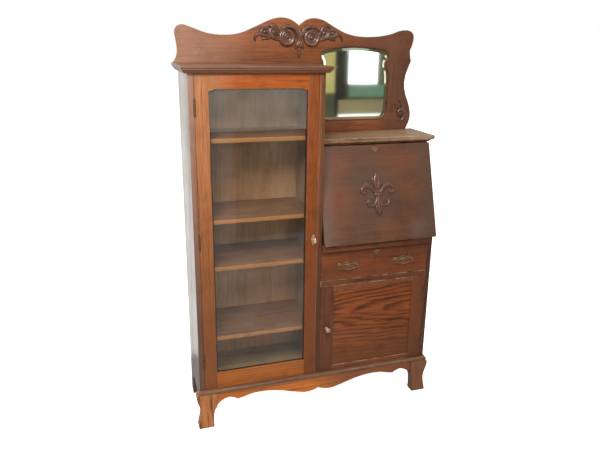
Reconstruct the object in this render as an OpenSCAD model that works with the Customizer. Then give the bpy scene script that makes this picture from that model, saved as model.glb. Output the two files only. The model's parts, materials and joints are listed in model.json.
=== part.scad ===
// Side-by-side secretary: a glazed bookcase on the left, and on the right a mirror,
// a slant-front desk, a drawer and a cupboard. Millimetres, +Z up, floor at Z = 0.
// The origin is on the floor under the centre of the whole piece; -Y is the front.

/* [Case] */
// Width over the outer faces of the two sides
case_w = 1108; // [1090:1:1130]
// Depth from the front edges of the sides to the back
case_d = 330; // [325:1:345]
// Width of the bookcase half, over its side and the partition
bookcase_w = 557; // [550:1:565]
// Thickness of the sides and of the partition
side_t = 22; // [20:1:23]
// Height of the top of the base ledge, where the doors start
ledge_z = 185.5; // [180:0.5:190]
// Thickness of the base ledge and of the bottom boards
ledge_t = 17.5; // [16:0.5:19]
// Height of the underside of the cornice
cornice_z = 1560; // [1540:1:1580]
// How far the cornice and the desk top stand out past the case
overhang = 26; // [22:1:30]

/* [Desk] */
// Height of the writing surface
bed_z = 817; // [815:1:819]
// Thickness of the fixed writing bed
bed_t = 26; // [25:1:27]
// How far the writing bed stands out in front of the case
bed_proud = 19; // [18:1:20]
// Lean of the closed fall from the vertical, in degrees
fall_lean = 17.7; // [17.5:0.1:18]
// Length of the fall up its slope
fall_len = 439; // [437:1:440]
// Thickness of the fall
fall_t = 20; // [19:1:21]
// Height of the desk top's upper surface
desk_top_z = 1272; // [1271:1:1275]

/* [Openings] */
// Height of the drawer front's lower edge
drawer_z = 647; // [646:1:650]
// Height of the drawer front
drawer_h = 141; // [138:1:141]
// Height of the top of the cupboard door
cupboard_top_z = 618; // [612:1:619]
// Heights of the tops of the four shelves
shelf_tops = [425.5, 754, 963, 1303];

/* [Crest] */
// Height of the tops of the two middle lobes
crest_z = 1779; // [1770:1:1790]
// Thickness of the crest boards
crest_t = 20; // [18:1:22]

/* [Hidden] */
$fn = 32;

// main planes
xl = -case_w / 2;
xr = case_w / 2;
xp = xl + bookcase_w;
xp_left = xp - side_t;
x_in_left = xl + side_t;
x_in_right = xr - side_t;
fall_front = bed_proud + fall_t * cos(fall_lean);
yf = (fall_front - case_d) / 2;
yb = (fall_front + case_d) / 2;
ledge_under = ledge_z - ledge_t;
gap = 1.5;
back_t = 6;
back_y = yb - 8;
inside_y = back_y - back_t;

// crest and cornice
crest_y = yb - 30;
crest_back = crest_y + crest_t;
cornice_mid = cornice_z + 13;
cornice_top = cornice_mid + 14;
lower_out = 14;
desk_top_t = 18;
desk_top_under = desk_top_z - desk_top_t;
moulding_h = 10;
desk_front = yf + 93.5;

// fall and its hinge line
hinge_y = yf - bed_proud;
hinge_z = bed_z;
fall_left = xp + 3;
fall_right = xr - 2;
fall_mid = (fall_left + fall_right) / 2;
fall_clear = 1;

// bookcase door
door_left = x_in_left + gap;
door_right = xp_left - gap;
door_bottom = ledge_z + gap;
door_top = cornice_z - gap;
door_t = 20;
stile_left_w = 55;
stile_right_w = 51;
rail_top_w = 58;
rail_bottom_w = 75;
glass_left = door_left + stile_left_w;
glass_right = door_right - stile_right_w;
glass_bottom = door_bottom + rail_bottom_w;
glass_top = door_top - rail_top_w;
rabbet = 8;
glass_y = yf + 9;
glass_t = 3;
lock_x = door_right - 17;
lock_z = 852;

// drawer and cupboard
front_left = xp + 2;
front_right = x_in_right - 2;
front_mid = (front_left + front_right) / 2;
drawer_t = 20;
drawer_top = drawer_z + drawer_h;
runner_z = drawer_z - 1.5;
side_board_t = 12;
drawer_side_l = front_left + 3;
drawer_side_r = front_right - 3;
drawer_end_y = inside_y - 18;
pull_dx = 138.5;
pull_z = 716;
cup_left = xp + gap;
cup_right = x_in_right - gap;
cup_stile_w = 65;
cup_top_rail_w = 26;
cup_bottom_rail_w = 24;
knob_z = 407;
knob_x = cup_left + cup_stile_w / 2;
knob_stem_r = 3;

// hinges
leaf_t = 1.5;
leaf_in = 0.3;
leaf_out = leaf_in + leaf_t;
leaf_w = 18;
knuckle_r = 4;
knuckle_room = 4.7;
pin_r = 2;
pin_clear = 0.05;
barrel_y = yf - 3;
door_hinge_x = (x_in_left + door_left) / 2;
cup_hinge_x = (x_in_right + cup_right) / 2;
door_hinge_zs = [330, 880, 1430];
cup_hinge_zs = [270, 530];
fall_hinge_xs = [fall_left + 90, fall_right - 90];
door_hinge_len = 66;
small_hinge_len = 54;

// stays of the fall: stay_arm is the crank's pivot from the hinge line in Y and Z,
// stay_b_up and stay_b_out the strut's pivot on the fall, up its slope and out of its face
stay_arm = [165, 107];
stay_b_up = 130;
stay_b_out = 14;
stay_a = [hinge_y, hinge_z] + stay_arm;
stay_b = [hinge_y, hinge_z] + [stay_b_up * sin(fall_lean) + stay_b_out * cos(fall_lean),
  stay_b_up * cos(fall_lean) - stay_b_out * sin(fall_lean)];
stay_elbow = stay_b + stay_arm;
stay_swing = 90 + fall_lean;
stay_t = 2;
stay_bar_w = 10;
stay_left_x = xp + 5;
stay_right_x = x_in_right - 5;

wood = [0.42, 0.22, 0.12];
wood_dark = [0.33, 0.18, 0.12];
wood_orange = [0.62, 0.30, 0.12];
wood_pale = [0.55, 0.36, 0.22];
brass = [0.62, 0.52, 0.32];

// Catmull-Rom curve through a list of points, n steps between each pair
function blend(a, b, c, d, t) =
  0.5 * (2 * b + (c - a) * t + (2 * a - 5 * b + 4 * c - d) * t * t + (3 * b - a - 3 * c + d) * t * t * t);
function smooth(p, n) = [
  for (i = [0 : len(p) - 2], k = [0 : n - 1])
    blend(p[max(i - 1, 0)], p[i], p[i + 1], p[min(i + 2, len(p) - 1)], k / n),
  p[len(p) - 1]
];
function flip_x(p) = [for (i = [len(p) - 1 : -1 : 0]) [-p[i][0], p[i][1]]];
function shift(p, dx, dz) = [for (q = p) [q[0] + dx, q[1] + dz]];

module box(a, b) {
  translate(a)
    cube(b - a);
}

// An outline in X and Z, from y0 back to y1
module board_xz(y0, y1) {
  translate([0, y1, 0])
    rotate([90, 0, 0])
      linear_extrude(y1 - y0)
        children();
}

// An outline in Y and Z, from x0 to x1
module board_yz(x0, x1) {
  translate([x0, 0, 0])
    rotate([90, 0, 90])
      linear_extrude(x1 - x0)
        children();
}

// A vector turned by an angle in its own plane
function turned(v, a) = [v[0] * cos(a) - v[1] * sin(a), v[0] * sin(a) + v[1] * cos(a)];

// ---- hinges ----

// One leaf of a butt hinge: the pin runs along Z through the origin, the leaf lies towards +Y
// with its thickness towards +X. Outer leaves carry the two end knuckles, others the middle one.
module hinge_leaf(len, outer) {
  third = len / 3;
  play = 0.3;
  difference() {
    union() {
      difference() {
        box([leaf_in, 0, -len / 2], [leaf_out, leaf_w, len / 2]);
        if (outer) {
          cylinder(h = third + 2 * play, r = knuckle_room, center = true);
        } else {
          for (s = [-1, 1])
            translate([0, 0, s * third])
              cylinder(h = third + 2 * play, r = knuckle_room, center = true);
        }
      }
      if (outer) {
        for (s = [-1, 1])
          translate([0, 0, s * (third + play / 2)])
            cylinder(h = third - play, r = knuckle_r, center = true);
      } else {
        cylinder(h = third - play, r = knuckle_r, center = true);
      }
    }
    cylinder(h = len + 4, r = outer ? pin_r + pin_clear : pin_r, center = true);
  }
}

// The recess that both leaves of one hinge need in the wood
module hinge_room(len) {
  cylinder(h = len + 1, r = knuckle_room, center = true);
  box([-leaf_out, 0, -len / 2], [leaf_out, leaf_w, len / 2]);
}

module at_door_hinges() {
  for (z = door_hinge_zs)
    translate([door_hinge_x, barrel_y, z])
      children();
}

module at_cup_hinges() {
  for (z = cup_hinge_zs)
    translate([cup_hinge_x, barrel_y, z])
      children();
}

// The leaf of the writing bed lies flat under its surface
module at_bed_hinges() {
  for (x = fall_hinge_xs)
    translate([x, hinge_y, hinge_z])
      rotate([0, 90, 0])
        children();
}

// The closed fall's own frame: X as the case, Y into the desk, Z up the slope, from the hinge line
module at_fall() {
  translate([0, hinge_y, hinge_z])
    rotate([-fall_lean, 0, 0])
      children();
}

module at_fall_hinges() {
  at_fall()
    for (x = fall_hinge_xs)
      translate([x, 0, 0])
        rotate([90, 0, -90])
          children();
}

module hinge_leaves_fixed() {
  color(brass) {
    at_door_hinges()
      mirror([1, 0, 0])
        hinge_leaf(door_hinge_len, false);
    at_cup_hinges()
      hinge_leaf(small_hinge_len, false);
    at_bed_hinges()
      hinge_leaf(small_hinge_len, false);
  }
}

module hinge_pins() {
  color(brass) {
    at_door_hinges()
      cylinder(h = door_hinge_len, r = pin_r, center = true);
    at_cup_hinges()
      cylinder(h = small_hinge_len, r = pin_r, center = true);
    at_bed_hinges()
      cylinder(h = small_hinge_len, r = pin_r, center = true);
    stay_studs(stay_a, pin_r);
    stay_studs(stay_stop, stop_r);
  }
}

module door_hinge_leaves() {
  color(brass)
    at_door_hinges()
      hinge_leaf(door_hinge_len, true);
}

module cupboard_hinge_leaves() {
  color(brass)
    at_cup_hinges()
      mirror([1, 0, 0])
        hinge_leaf(small_hinge_len, true);
}

// ---- case ----

// The lower edge of a side, from the foot block back to the rear leg
function side_foot() = concat(
  [[yf + 20, ledge_z], [yf + 20, ledge_under], [yf + 32, ledge_under], [yf + 32, 70]],
  smooth([[yf + 38, 70], [yf + 55, 100], [yf + 90, 124], [(yf + yb) / 2, 128], [yb - 100, 122],
    [yb - 70, 96], [yb - 60, 50]], 4),
  [[yb - 58, 0], [yb, 0]]);

module side_outline(top_z) {
  polygon(concat([[yf, ledge_z]], side_foot(), [[yb, top_z], [yf, top_z]]));
}

module left_side_panel() {
  color(wood)
    difference() {
      board_yz(xl, x_in_left)
        side_outline(cornice_z);
      at_door_hinges()
        hinge_room(door_hinge_len);
      shelf_pin_holes();
    }
}

module partition() {
  color(wood)
    difference() {
      board_yz(xp_left, xp)
        polygon([[yf, ledge_z], [yf + 20, ledge_z], [yf + 20, ledge_under], [yb, ledge_under],
          [yb, cornice_z], [yf, cornice_z]]);
      // pocket for the bookcase lock's bolt
      box([xp_left - 1, yf + 8, lock_z + 12], [xp_left + 10, yf + 17, lock_z + 34]);
      shelf_pin_holes();
      stay_stud_holes();
    }
}

// Where the closed fall's inner face, with its clearance, stands at a given height
function slope_y(z) = hinge_y + (z - hinge_z) * tan(fall_lean) + fall_clear / cos(fall_lean);
function slope_z(y) = hinge_z + (y - hinge_y - fall_clear / cos(fall_lean)) / tan(fall_lean);

module right_side_panel() {
  color(wood)
    difference() {
      board_yz(x_in_right, xr)
        polygon(concat([[yf, ledge_z]], side_foot(),
          [[yb, desk_top_under], [slope_y(desk_top_under), desk_top_under], [yf, slope_z(yf)]]));
      at_cup_hinges()
        hinge_room(small_hinge_len);
      stay_stud_holes();
    }
}

// Where the open stay's crank comes to rest on its stop, 60 mm from its pivot
stop_r = 3;
stay_stop = stay_a + stay_rest(60, stay_bar_w / 2 + stop_r + 0.3);
function stay_rest(along, below) =
  let (u = turned((stay_elbow - stay_a) / norm(stay_elbow - stay_a), stay_swing))
  along * u + below * turned(u, 90);

// Studs on the inner faces of the partition and the right side
module stay_studs(at, r) {
  sunk = 8;
  reach = 7.3;
  for (x = [xp - sunk, x_in_right - reach])
    translate([x, at[0], at[1]])
      rotate([0, 90, 0])
        cylinder(h = sunk + reach, r = r);
}

module stay_stud_holes() {
  stay_studs(stay_a, pin_r);
  stay_studs(stay_stop, stop_r);
}

module cornice_outline(out) {
  polygon([[xl - out, yf - out], [xp + out, yf - out], [xp + out, crest_y], [xp, crest_y],
    [xp, yb], [xl - out, yb]]);
}

// Cove-edged board under the cornice, made as thin steps of a quarter round
module cornice_lower_board() {
  steps = 5;
  rise = cornice_mid - cornice_z;
  color(wood_dark)
    for (i = [0 : steps - 1])
      translate([0, 0, cornice_z + i * rise / steps])
        linear_extrude(rise / steps)
          cornice_outline(lower_out + 7 * (1 - cos(90 * i / (steps - 1))));
}

module cornice_top_board() {
  edge = 3;
  color(wood_dark) {
    translate([0, 0, cornice_mid])
      linear_extrude(edge)
        cornice_outline(overhang - 2);
    translate([0, 0, cornice_mid + edge])
      linear_extrude(cornice_top - cornice_mid - edge)
        cornice_outline(overhang);
  }
}

module bookcase_top() {
  color(wood)
    box([x_in_left, yf + door_t + 1, cornice_z - 18], [xp_left, inside_y, cornice_z]);
}

module bookcase_bottom() {
  color(wood)
    box([x_in_left, yf + 20, ledge_under], [xp_left, inside_y, ledge_z]);
}

// Vertical boards, butted edge to edge
module bookcase_back() {
  boards = 4;
  w = (xp_left - x_in_left) / boards;
  color(wood_dark)
    for (i = [0 : boards - 1])
      box([x_in_left + i * w, inside_y, ledge_under], [x_in_left + (i + 1) * w - 0.4, back_y, cornice_z]);
}

module shelves() {
  shelf_t = 18;
  color(wood_orange)
    for (z = shelf_tops)
      box([x_in_left + 1, yf + 26, z - shelf_t], [xp_left - 1, inside_y - 2, z]);
}

pin_ys = [yf + 55, yb - 60];
shelf_pin_r = 3.5;

module shelf_pin_holes() {
  for (z = shelf_tops, y = pin_ys)
    for (x = [x_in_left - 10, xp_left - 1])
      translate([x, y, z - 18 - shelf_pin_r])
        rotate([0, 90, 0])
          cylinder(h = 11, r = shelf_pin_r);
}

module shelf_pins() {
  color(brass)
    for (z = shelf_tops, y = pin_ys)
      for (x = [x_in_left - 10, xp_left - 12])
        translate([x, y, z - 18 - shelf_pin_r])
          rotate([0, 90, 0])
            cylinder(h = 22, r = shelf_pin_r);
}

module desk_back() {
  boards = 4;
  w = (x_in_right - xp) / boards;
  color(wood_dark)
    for (i = [0 : boards - 1])
      box([xp + i * w, inside_y, ledge_under], [xp + (i + 1) * w - 0.4, back_y, desk_top_under]);
}

module desk_top() {
  edge = 4;
  color(wood_pale) {
    box([xp, desk_front + 2, desk_top_under], [xr + overhang - 2, yb, desk_top_under + edge]);
    box([xp, desk_front, desk_top_under + edge], [xr + overhang, yb, desk_top_z]);
  }
}

// Cove strip under the front and the right end of the desk top
module desk_top_moulding() {
  z0 = desk_top_under - moulding_h;
  steps = 4;
  front = desk_front + 12;
  depth = 10;
  color(wood_dark)
    for (i = [0 : steps - 1]) {
      out = 7 * (1 - cos(90 * i / (steps - 1)));
      z1 = z0 + i * moulding_h / steps;
      box([xp, front - out, z1], [xr + 4 + out, front + depth, z1 + moulding_h / steps]);
      box([xr, front + depth, z1], [xr + 4 + out, yb, z1 + moulding_h / steps]);
    }
}

module writing_bed() {
  color(wood)
    difference() {
      union() {
        box([xp, yf, bed_z - bed_t], [x_in_right, inside_y, bed_z]);
        box([xp + 1, hinge_y + 0.5, bed_z - bed_t], [x_in_right - 1, yf, bed_z]);
      }
      at_bed_hinges()
        hinge_room(small_hinge_len);
    }
}

module drawer_rail() {
  color(wood)
    box([xp, yf, cupboard_top_z + gap], [x_in_right, yf + 60, drawer_z - gap]);
}

// A runner under each drawer side, with a guide strip beside it
module drawer_runners() {
  guide = 2.4;
  color(wood_pale)
    for (x = [xp, x_in_right - 24]) {
      box([x, yf + 60, runner_z - 14], [x + 24, inside_y, runner_z]);
      gx = x == xp ? xp : x_in_right - guide;
      box([gx, yf + 60, runner_z], [gx + guide, inside_y, runner_z + 20]);
    }
}

module cupboard_bottom() {
  color(wood)
    box([xp, yf + 20, ledge_under], [x_in_right, inside_y, ledge_z]);
}

// Letter rack: a shelf on two ends and thin upright dividers, standing on the writing bed
module pigeonholes() {
  y0 = yf + 176;
  y1 = inside_y;
  x0 = xp + 16;
  x1 = x_in_right - 16;
  board = 8;
  rack_h = 190;
  low_h = 62;
  bays = 6;
  bay = (x1 - x0 - board) / bays;
  color(wood_pale) {
    box([x0, y0, bed_z + rack_h - board], [x1, y1, bed_z + rack_h]);
    box([x0, y0, bed_z + low_h], [x1, y1, bed_z + low_h + board]);
    for (i = [0 : bays])
      box([x0 + i * bay, y0, bed_z + low_h + board], [x0 + i * bay + board, y1, bed_z + rack_h - board]);
    for (i = [0, bays / 2, bays])
      box([x0 + i * bay, y0, bed_z], [x0 + i * bay + board, y1, bed_z + low_h]);
  }
}

// ---- base ----

module base_ledge() {
  side_out = 9;
  front_out = 17;
  nose = 3;
  color(wood_pale)
    union() {
      box([xl - side_out, yf - front_out, ledge_under + nose], [xr + side_out, yf + 20, ledge_z]);
      box([xl - side_out + nose, yf - front_out + nose, ledge_under],
        [xr + side_out - nose, yf + 20, ledge_under + nose]);
    }
}

foot_in = 72;
foot_front = yf - 17;
foot_depth = 48;

// Front outline of the left foot, outwards negative, measured from the side's outer face
function foot_outline() = concat(
  [[foot_in, ledge_under], [-11, ledge_under]],
  smooth([[-11, ledge_under], [-17, 157], [-15, 138], [-6, 110], [0, 85], [-1, 62], [-6, 36], [-13, 6]], 5),
  [[-12, 0], [57, 0]],
  smooth([[57, 0], [55.5, 30], [57, 62], [62, 86], [foot_in, 102]], 4));

module front_feet() {
  color(wood_orange)
    board_xz(foot_front, foot_front + foot_depth) {
      polygon(shift(foot_outline(), xl, 0));
      polygon(shift(flip_x(foot_outline()), xr, 0));
    }
}

// Left half of the apron's lower edge, from the foot to the middle notch
function apron_half() = concat(
  smooth([[xl + foot_in, 102], [-468, 118], [-446, 132], [-425, 137], [-402, 130], [-387, 121]], 5),
  smooth([[-387, 121], [-360, 126], [-320, 136], [-260, 138], [-190, 128], [-120, 108], [-70, 96],
    [-38, 97], [-12, 104], [0, 110]], 6));

module apron() {
  color(wood_orange)
    board_xz(yf - 9, yf + 11)
      polygon(concat([[-xl - foot_in, ledge_under], [xl + foot_in, ledge_under]], apron_half(),
        flip_x(apron_half())));
}

// ---- crest and mirror ----

notch_x = -18;
rose_z = crest_z - 83;

// Top edge of the crest from the left cornice corner to the right foot on the desk top
function crest_edge() = concat(
  smooth([[xl - 22, cornice_top], [xl - 9, cornice_top + 18], [xl - 1, cornice_top + 50],
    [xl - 5, cornice_top + 95], [xl - 9, 1712], [xl + 2, 1735], [xl + 26, 1742], [xl + 62, 1731],
    [xl + 125, 1710], [xl + 195, 1703], [xl + 268, 1711], [xl + 340, 1740], [xl + 405, 1769],
    [xl + 454, crest_z], [xl + 498, 1770], [notch_x, 1746]], 5),
  smooth([[notch_x, 1746], [xl + 568, 1770], [xl + 604, crest_z], [xl + 650, 1770], [xl + 705, 1741],
    [xl + 762, 1716], [xl + 830, 1704], [xl + 915, 1705], [xl + 985, 1716], [xl + 1030, 1731],
    [xl + 1064, 1736], [xl + 1090, 1727], [xl + 1101, 1706], [xl + 1096, 1672], [xl + 1086, 1645],
    [xl + 1088, 1620], [xl + 1094, 1597]], 5),
  smooth([[xl + 1094, 1597], [xl + 1080, 1562], [xl + 1069, 1522], [xl + 1067, 1482],
    [xl + 1077, 1440], [xl + 1096, 1395], [xl + 1107, 1352], [xl + 1104, 1315],
    [xl + 1086, desk_top_z]], 5));

mirror_x = 254;
mirror_z = 1323;

// Right half of the mirror's outline, grown outwards by g
function mirror_half(g) = concat(
  smooth([[0, mirror_z - g], [60, mirror_z - g], [130, mirror_z - g], [157 + g / 2, mirror_z + 12 - g / 2],
    [171 + g, mirror_z + 46], [173 + g, 1420], [173 + g, 1500], [169 + g, 1545], [159 + g, 1574],
    [161 + g, 1594], [169 + g, 1613], [166 + g, 1634 + g / 2], [144, 1646 + g], [80, 1656 + g],
    [0, 1661 + g]], 4));

module mirror_shape(g) {
  half = mirror_half(g);
  other = flip_x(half);
  translate([mirror_x, 0])
    polygon(concat(half, [for (i = [1 : len(other) - 2]) other[i]]));
}

module crest_shape() {
  difference() {
    polygon(concat(crest_edge(), [[xp, desk_top_z], [xp, cornice_top]]));
    mirror_shape(0);
  }
}

// One board of the crest: the part of its outline between two corners
module crest_part(x0, z0, x1, z1) {
  color(wood)
    board_xz(crest_y, crest_back)
      intersection() {
        crest_shape();
        translate([x0, z0])
          square([x1 - x0, z1 - z0]);
      }
}

crest_split = cornice_top;
rail_split = mirror_z + 30;

module crest_top_rail() {
  crest_part(xl - 60, crest_split, xr + 60, crest_z + 10);
}

module crest_stiles() {
  crest_part(xp, rail_split, mirror_x, crest_split);
  crest_part(mirror_x, rail_split, xr + 60, crest_split);
}

module crest_bottom_rail() {
  crest_part(xp, desk_top_z, xr + 60, rail_split);
}

module mirror_glass() {
  color([0.8, 0.85, 0.85])
    board_xz(crest_y + 7, crest_y + 12)
      mirror_shape(-0.4);
}

// Thin bead in front of the glass
module mirror_bead() {
  color(wood_pale)
    board_xz(crest_y + 2, crest_y + 7)
      difference() {
        mirror_shape(-0.4);
        mirror_shape(-4.5);
      }
}

module mirror_back_board() {
  color(wood_dark)
    box([mirror_x - 190, crest_back, mirror_z - 20], [mirror_x + 190, crest_back + back_t, 1680]);
}

// Flat ground of the applied carvings: two roses, their leaves and a drop, and a corner spray
module crest_carvings() {
  rise = 9;
  color(wood_dark)
    board_xz(crest_y - rise, crest_y) {
      union() {
        for (s = [-1, 1])
          translate([notch_x + 1 + s * 57, rose_z])
            circle(r = 37);
        polygon(shift([[-205, -6], [-150, 22], [-90, 30], [-90, -30], [-145, -22]], notch_x, rose_z));
        polygon(shift([[205, -6], [145, -24], [90, -30], [90, 28], [150, 20]], notch_x, rose_z));
        polygon(shift([[-22, 0], [22, 0], [12, -50], [0, -84], [-12, -50]], notch_x, rose_z));
        translate([notch_x, rose_z])
          square([60, 40], center = true);
      }
      polygon([[462, 1400], [484, 1412], [500, 1392], [522, 1370], [530, 1340], [516, 1312], [497, 1318],
        [484, 1350]]);
    }
}

// ---- bookcase door ----

module door_board(x0, z0, x1, z1) {
  box([x0, yf, z0], [x1, yf + door_t, z1]);
}

// The rabbet that holds the glass and its beads, cut from behind
module door_rabbet() {
  box([glass_left - rabbet, glass_y, glass_bottom - rabbet],
    [glass_right + rabbet, yf + door_t + 1, glass_top + rabbet]);
}

module door_stile_left() {
  color(wood_orange)
    difference() {
      door_board(door_left, door_bottom, glass_left, door_top);
      door_rabbet();
      at_door_hinges()
        hinge_room(door_hinge_len);
    }
}

lock_case_w = 34;
lock_case_h = 74;
lock_case_y = yf + 6;
lock_case_t = 12;
lock_case_x = door_right - 2 - lock_case_w;

module door_stile_right() {
  color(wood_orange)
    difference() {
      door_board(glass_right, door_bottom, door_right, door_top);
      door_rabbet();
      // mortise of the lock, open to the back, and its keyhole
      box([lock_case_x, lock_case_y, lock_z - 30], [lock_case_x + lock_case_w, yf + door_t + 1,
        lock_z - 30 + lock_case_h]);
      box([lock_case_x + lock_case_w - 1, yf + 9, lock_z + 13], [door_right + 1, yf + 16, lock_z + 33]);
      translate([lock_x, yf - 1, lock_z])
        rotate([-90, 0, 0])
          cylinder(h = 10, r = 3.2);
    }
}

// The opening's upper corners drop in a small ogee
function top_rail_edge() = concat(
  smooth([[glass_left, glass_top - 7], [glass_left + 12, glass_top - 6],
    [glass_left + 22, glass_top - 1], [glass_left + 34, glass_top]], 4),
  smooth([[glass_right - 34, glass_top], [glass_right - 22, glass_top - 1],
    [glass_right - 12, glass_top - 6], [glass_right, glass_top - 7]], 4));

module door_rail_top() {
  color(wood_orange)
    difference() {
      board_xz(yf, yf + door_t)
        polygon(concat(top_rail_edge(), [[glass_right, door_top], [glass_left, door_top]]));
      door_rabbet();
    }
}

module door_rail_bottom() {
  color(wood_orange)
    difference() {
      door_board(glass_left, door_bottom, glass_right, glass_bottom);
      door_rabbet();
    }
}

module door_glass() {
  color([0.6, 0.68, 0.68, 0.4])
    box([glass_left - rabbet + 1, glass_y, glass_bottom - rabbet + 1],
      [glass_right + rabbet - 1, glass_y + glass_t, glass_top + rabbet - 1]);
}

// Four butted strips behind the glass
module door_glass_beads() {
  y0 = glass_y + glass_t;
  y1 = yf + door_t;
  w = rabbet;
  xa = glass_left - rabbet;
  xb = glass_right + rabbet;
  za = glass_bottom - rabbet;
  zb = glass_top + rabbet;
  color(wood) {
    box([xa, y0, za], [xa + w, y1, zb]);
    box([xb - w, y0, za], [xb, y1, zb]);
    box([xa + w, y0, za], [xb - w, y1, za + w]);
    box([xa + w, y0, zb - w], [xb - w, y1, zb]);
  }
}

module door_escutcheon() {
  color(brass)
    board_xz(yf - 1.5, yf)
      difference() {
        polygon(shift(concat(
          smooth([[0, 24], [6, 18], [5, 12], [10, 4], [8, -6], [5, -14], [6, -20], [0, -26]], 3),
          smooth([[0, -26], [-6, -20], [-5, -14], [-8, -6], [-10, 4], [-5, 12], [-6, 18], [0, 24]], 3)),
          lock_x, lock_z));
        translate([lock_x, lock_z])
          circle(r = 3.2);
      }
}

// Hollow lock case: a front plate with the keyhole, walls, and a slot for the bolt
module door_lock_case() {
  wall = 1.5;
  z0 = lock_z - 30;
  x1 = lock_case_x + lock_case_w;
  y1 = lock_case_y + lock_case_t;
  color(brass)
    difference() {
      box([lock_case_x, lock_case_y, z0], [x1, y1, z0 + lock_case_h]);
      box([lock_case_x + wall, lock_case_y + wall, z0 + wall],
        [x1 - wall, y1 - wall, z0 + lock_case_h - wall]);
      box([x1 - wall - 1, yf + 9, lock_z + 13], [x1 + 1, yf + 16, lock_z + 33]);
      translate([lock_x, lock_case_y - 1, lock_z])
        rotate([-90, 0, 0])
          cylinder(h = 4, r = 3.2);
    }
}

// The bolt, drawn back into the case; it moves towards +X
module door_lock_bolt() {
  color(brass)
    box([door_right - 20, yf + 10, lock_z + 14], [door_right - 0.5, yf + 15, lock_z + 32]);
}

// The key in the lock, its bow upright
module door_key() {
  shaft_r = 2.4;
  bow_r = 12;
  bow_t = 2.5;
  front = yf - 14;
  color(brass) {
    translate([lock_x, front, lock_z])
      rotate([-90, 0, 0])
        cylinder(h = 29, r = shaft_r);
    box([lock_x - 1, yf + 9.5, lock_z - 8], [lock_x + 1, yf + 14, lock_z]);
    translate([lock_x - bow_t / 2, front - bow_r + 3, lock_z])
      rotate([0, 90, 0])
        difference() {
          cylinder(h = bow_t, r = bow_r);
          translate([0, 0, -1])
            cylinder(h = bow_t + 2, r = bow_r - 4);
        }
  }
}

// ---- fall ----

fall_foot = 0.6;

module fall_board() {
  color(wood_dark)
    difference() {
      at_fall()
        difference() {
          box([fall_left, -fall_t, fall_foot], [fall_right, 0, fall_len]);
          // a small step along the front edges, top and ends
          box([fall_left - 1, -fall_t - 1, fall_len - 4], [fall_right + 1, -fall_t + 2, fall_len + 1]);
        }
      at_fall_hinges()
        hinge_room(small_hinge_len);
    }
}

carve_s = 217;

module fall_carving() {
  color(wood_dark)
    at_fall()
      board_xz(-fall_t - 6, -fall_t)
        translate([fall_mid - 3, carve_s]) {
          union() {
            polygon(smooth([[0, 103], [22, 62], [16, 20], [30, 6], [16, -8], [14, -60], [0, -103],
              [-14, -60], [-16, -8], [-30, 6], [-16, 20], [-22, 62], [0, 103]], 3));
            for (s = [-1, 1])
              polygon(smooth([[s * 12, 8], [s * 40, 34], [s * 66, 40], [s * 80, 14], [s * 66, 2],
                [s * 44, -4], [s * 62, -30], [s * 52, -52], [s * 28, -34], [s * 12, -8], [s * 12, 8]], 3));
          }
        }
}

module fall_escutcheon() {
  color(brass)
    at_fall()
      board_xz(-fall_t - 1.5, -fall_t)
        difference() {
          polygon(shift(concat(
            smooth([[-20, 6], [-8, 8], [0, 11], [8, 8], [20, 6]], 3),
            smooth([[20, 6], [14, -2], [6, -8], [0, -14], [-6, -8], [-14, -2], [-20, 6]], 3)),
            fall_mid - 3, fall_len - 20));
          translate([fall_mid - 3, fall_len - 20])
            circle(r = 2.4);
        }
}

// ---- folding stays ----

// A crank on the case and a strut on the fall, one pair at each end. The crank is as long as
// the fall's pivot is far from the hinge line, so crank, strut, fall and case make a parallelogram.
module stay_bar(a, b, x0) {
  d = b - a;
  translate([x0, a[0], a[1]])
    rotate([atan2(d[1], d[0]), 0, 0])
      difference() {
        union() {
          box([0, 0, -stay_bar_w / 2], [stay_t, norm(d), stay_bar_w / 2]);
          for (y = [0, norm(d)])
            translate([0, y, 0])
              rotate([0, 90, 0])
                cylinder(h = stay_t, r = stay_bar_w / 2);
        }
        for (y = [0, norm(d)])
          translate([-1, y, 0])
            rotate([0, 90, 0])
              cylinder(h = stay_t + 2, r = pin_r + pin_clear);
      }
}

stay_step = stay_t + 0.6;

// The cranks, each with the pin at its free end that the strut turns on
module stay_cranks() {
  color(brass)
    for (right = [false, true]) {
      x = right ? stay_right_x - stay_t : stay_left_x;
      difference() {
        stay_bar(stay_a, stay_elbow, x);
        stay_pin(stay_elbow, x - 1, stay_t + 2);
      }
      stay_pin(stay_elbow, right ? x - stay_step : x, stay_t + stay_step);
    }
}

module stay_pin(at, x, len) {
  translate([x, at[0], at[1]])
    rotate([0, 90, 0])
      cylinder(h = len, r = pin_r);
}

module stay_struts() {
  color(brass) {
    stay_bar(stay_elbow, stay_b, stay_left_x + stay_step);
    stay_bar(stay_elbow, stay_b, stay_right_x - stay_step - stay_t);
  }
}

// The fall's outer hinge leaves, and the angle plates whose pins the stay struts turn on
module fall_hinge_leaves() {
  plate = stay_t;
  color(brass) {
    at_fall_hinges()
      hinge_leaf(small_hinge_len, true);
    at_fall()
      for (right = [false, true]) {
        x = right ? stay_right_x - 2 * stay_step - plate : stay_left_x + 2 * stay_step;
        foot = right ? x - 16 : x;
        box([x, 0, stay_b_up - 9], [x + plate, stay_b_out + 5, stay_b_up + 9]);
        box([foot, 0, stay_b_up - 9], [foot + 16 + plate, plate, stay_b_up + 9]);
        translate([right ? x : x - stay_step, stay_b_out, stay_b_up])
          rotate([0, 90, 0])
            cylinder(h = stay_step + plate, r = pin_r);
      }
  }
}

// ---- drawer ----

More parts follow.
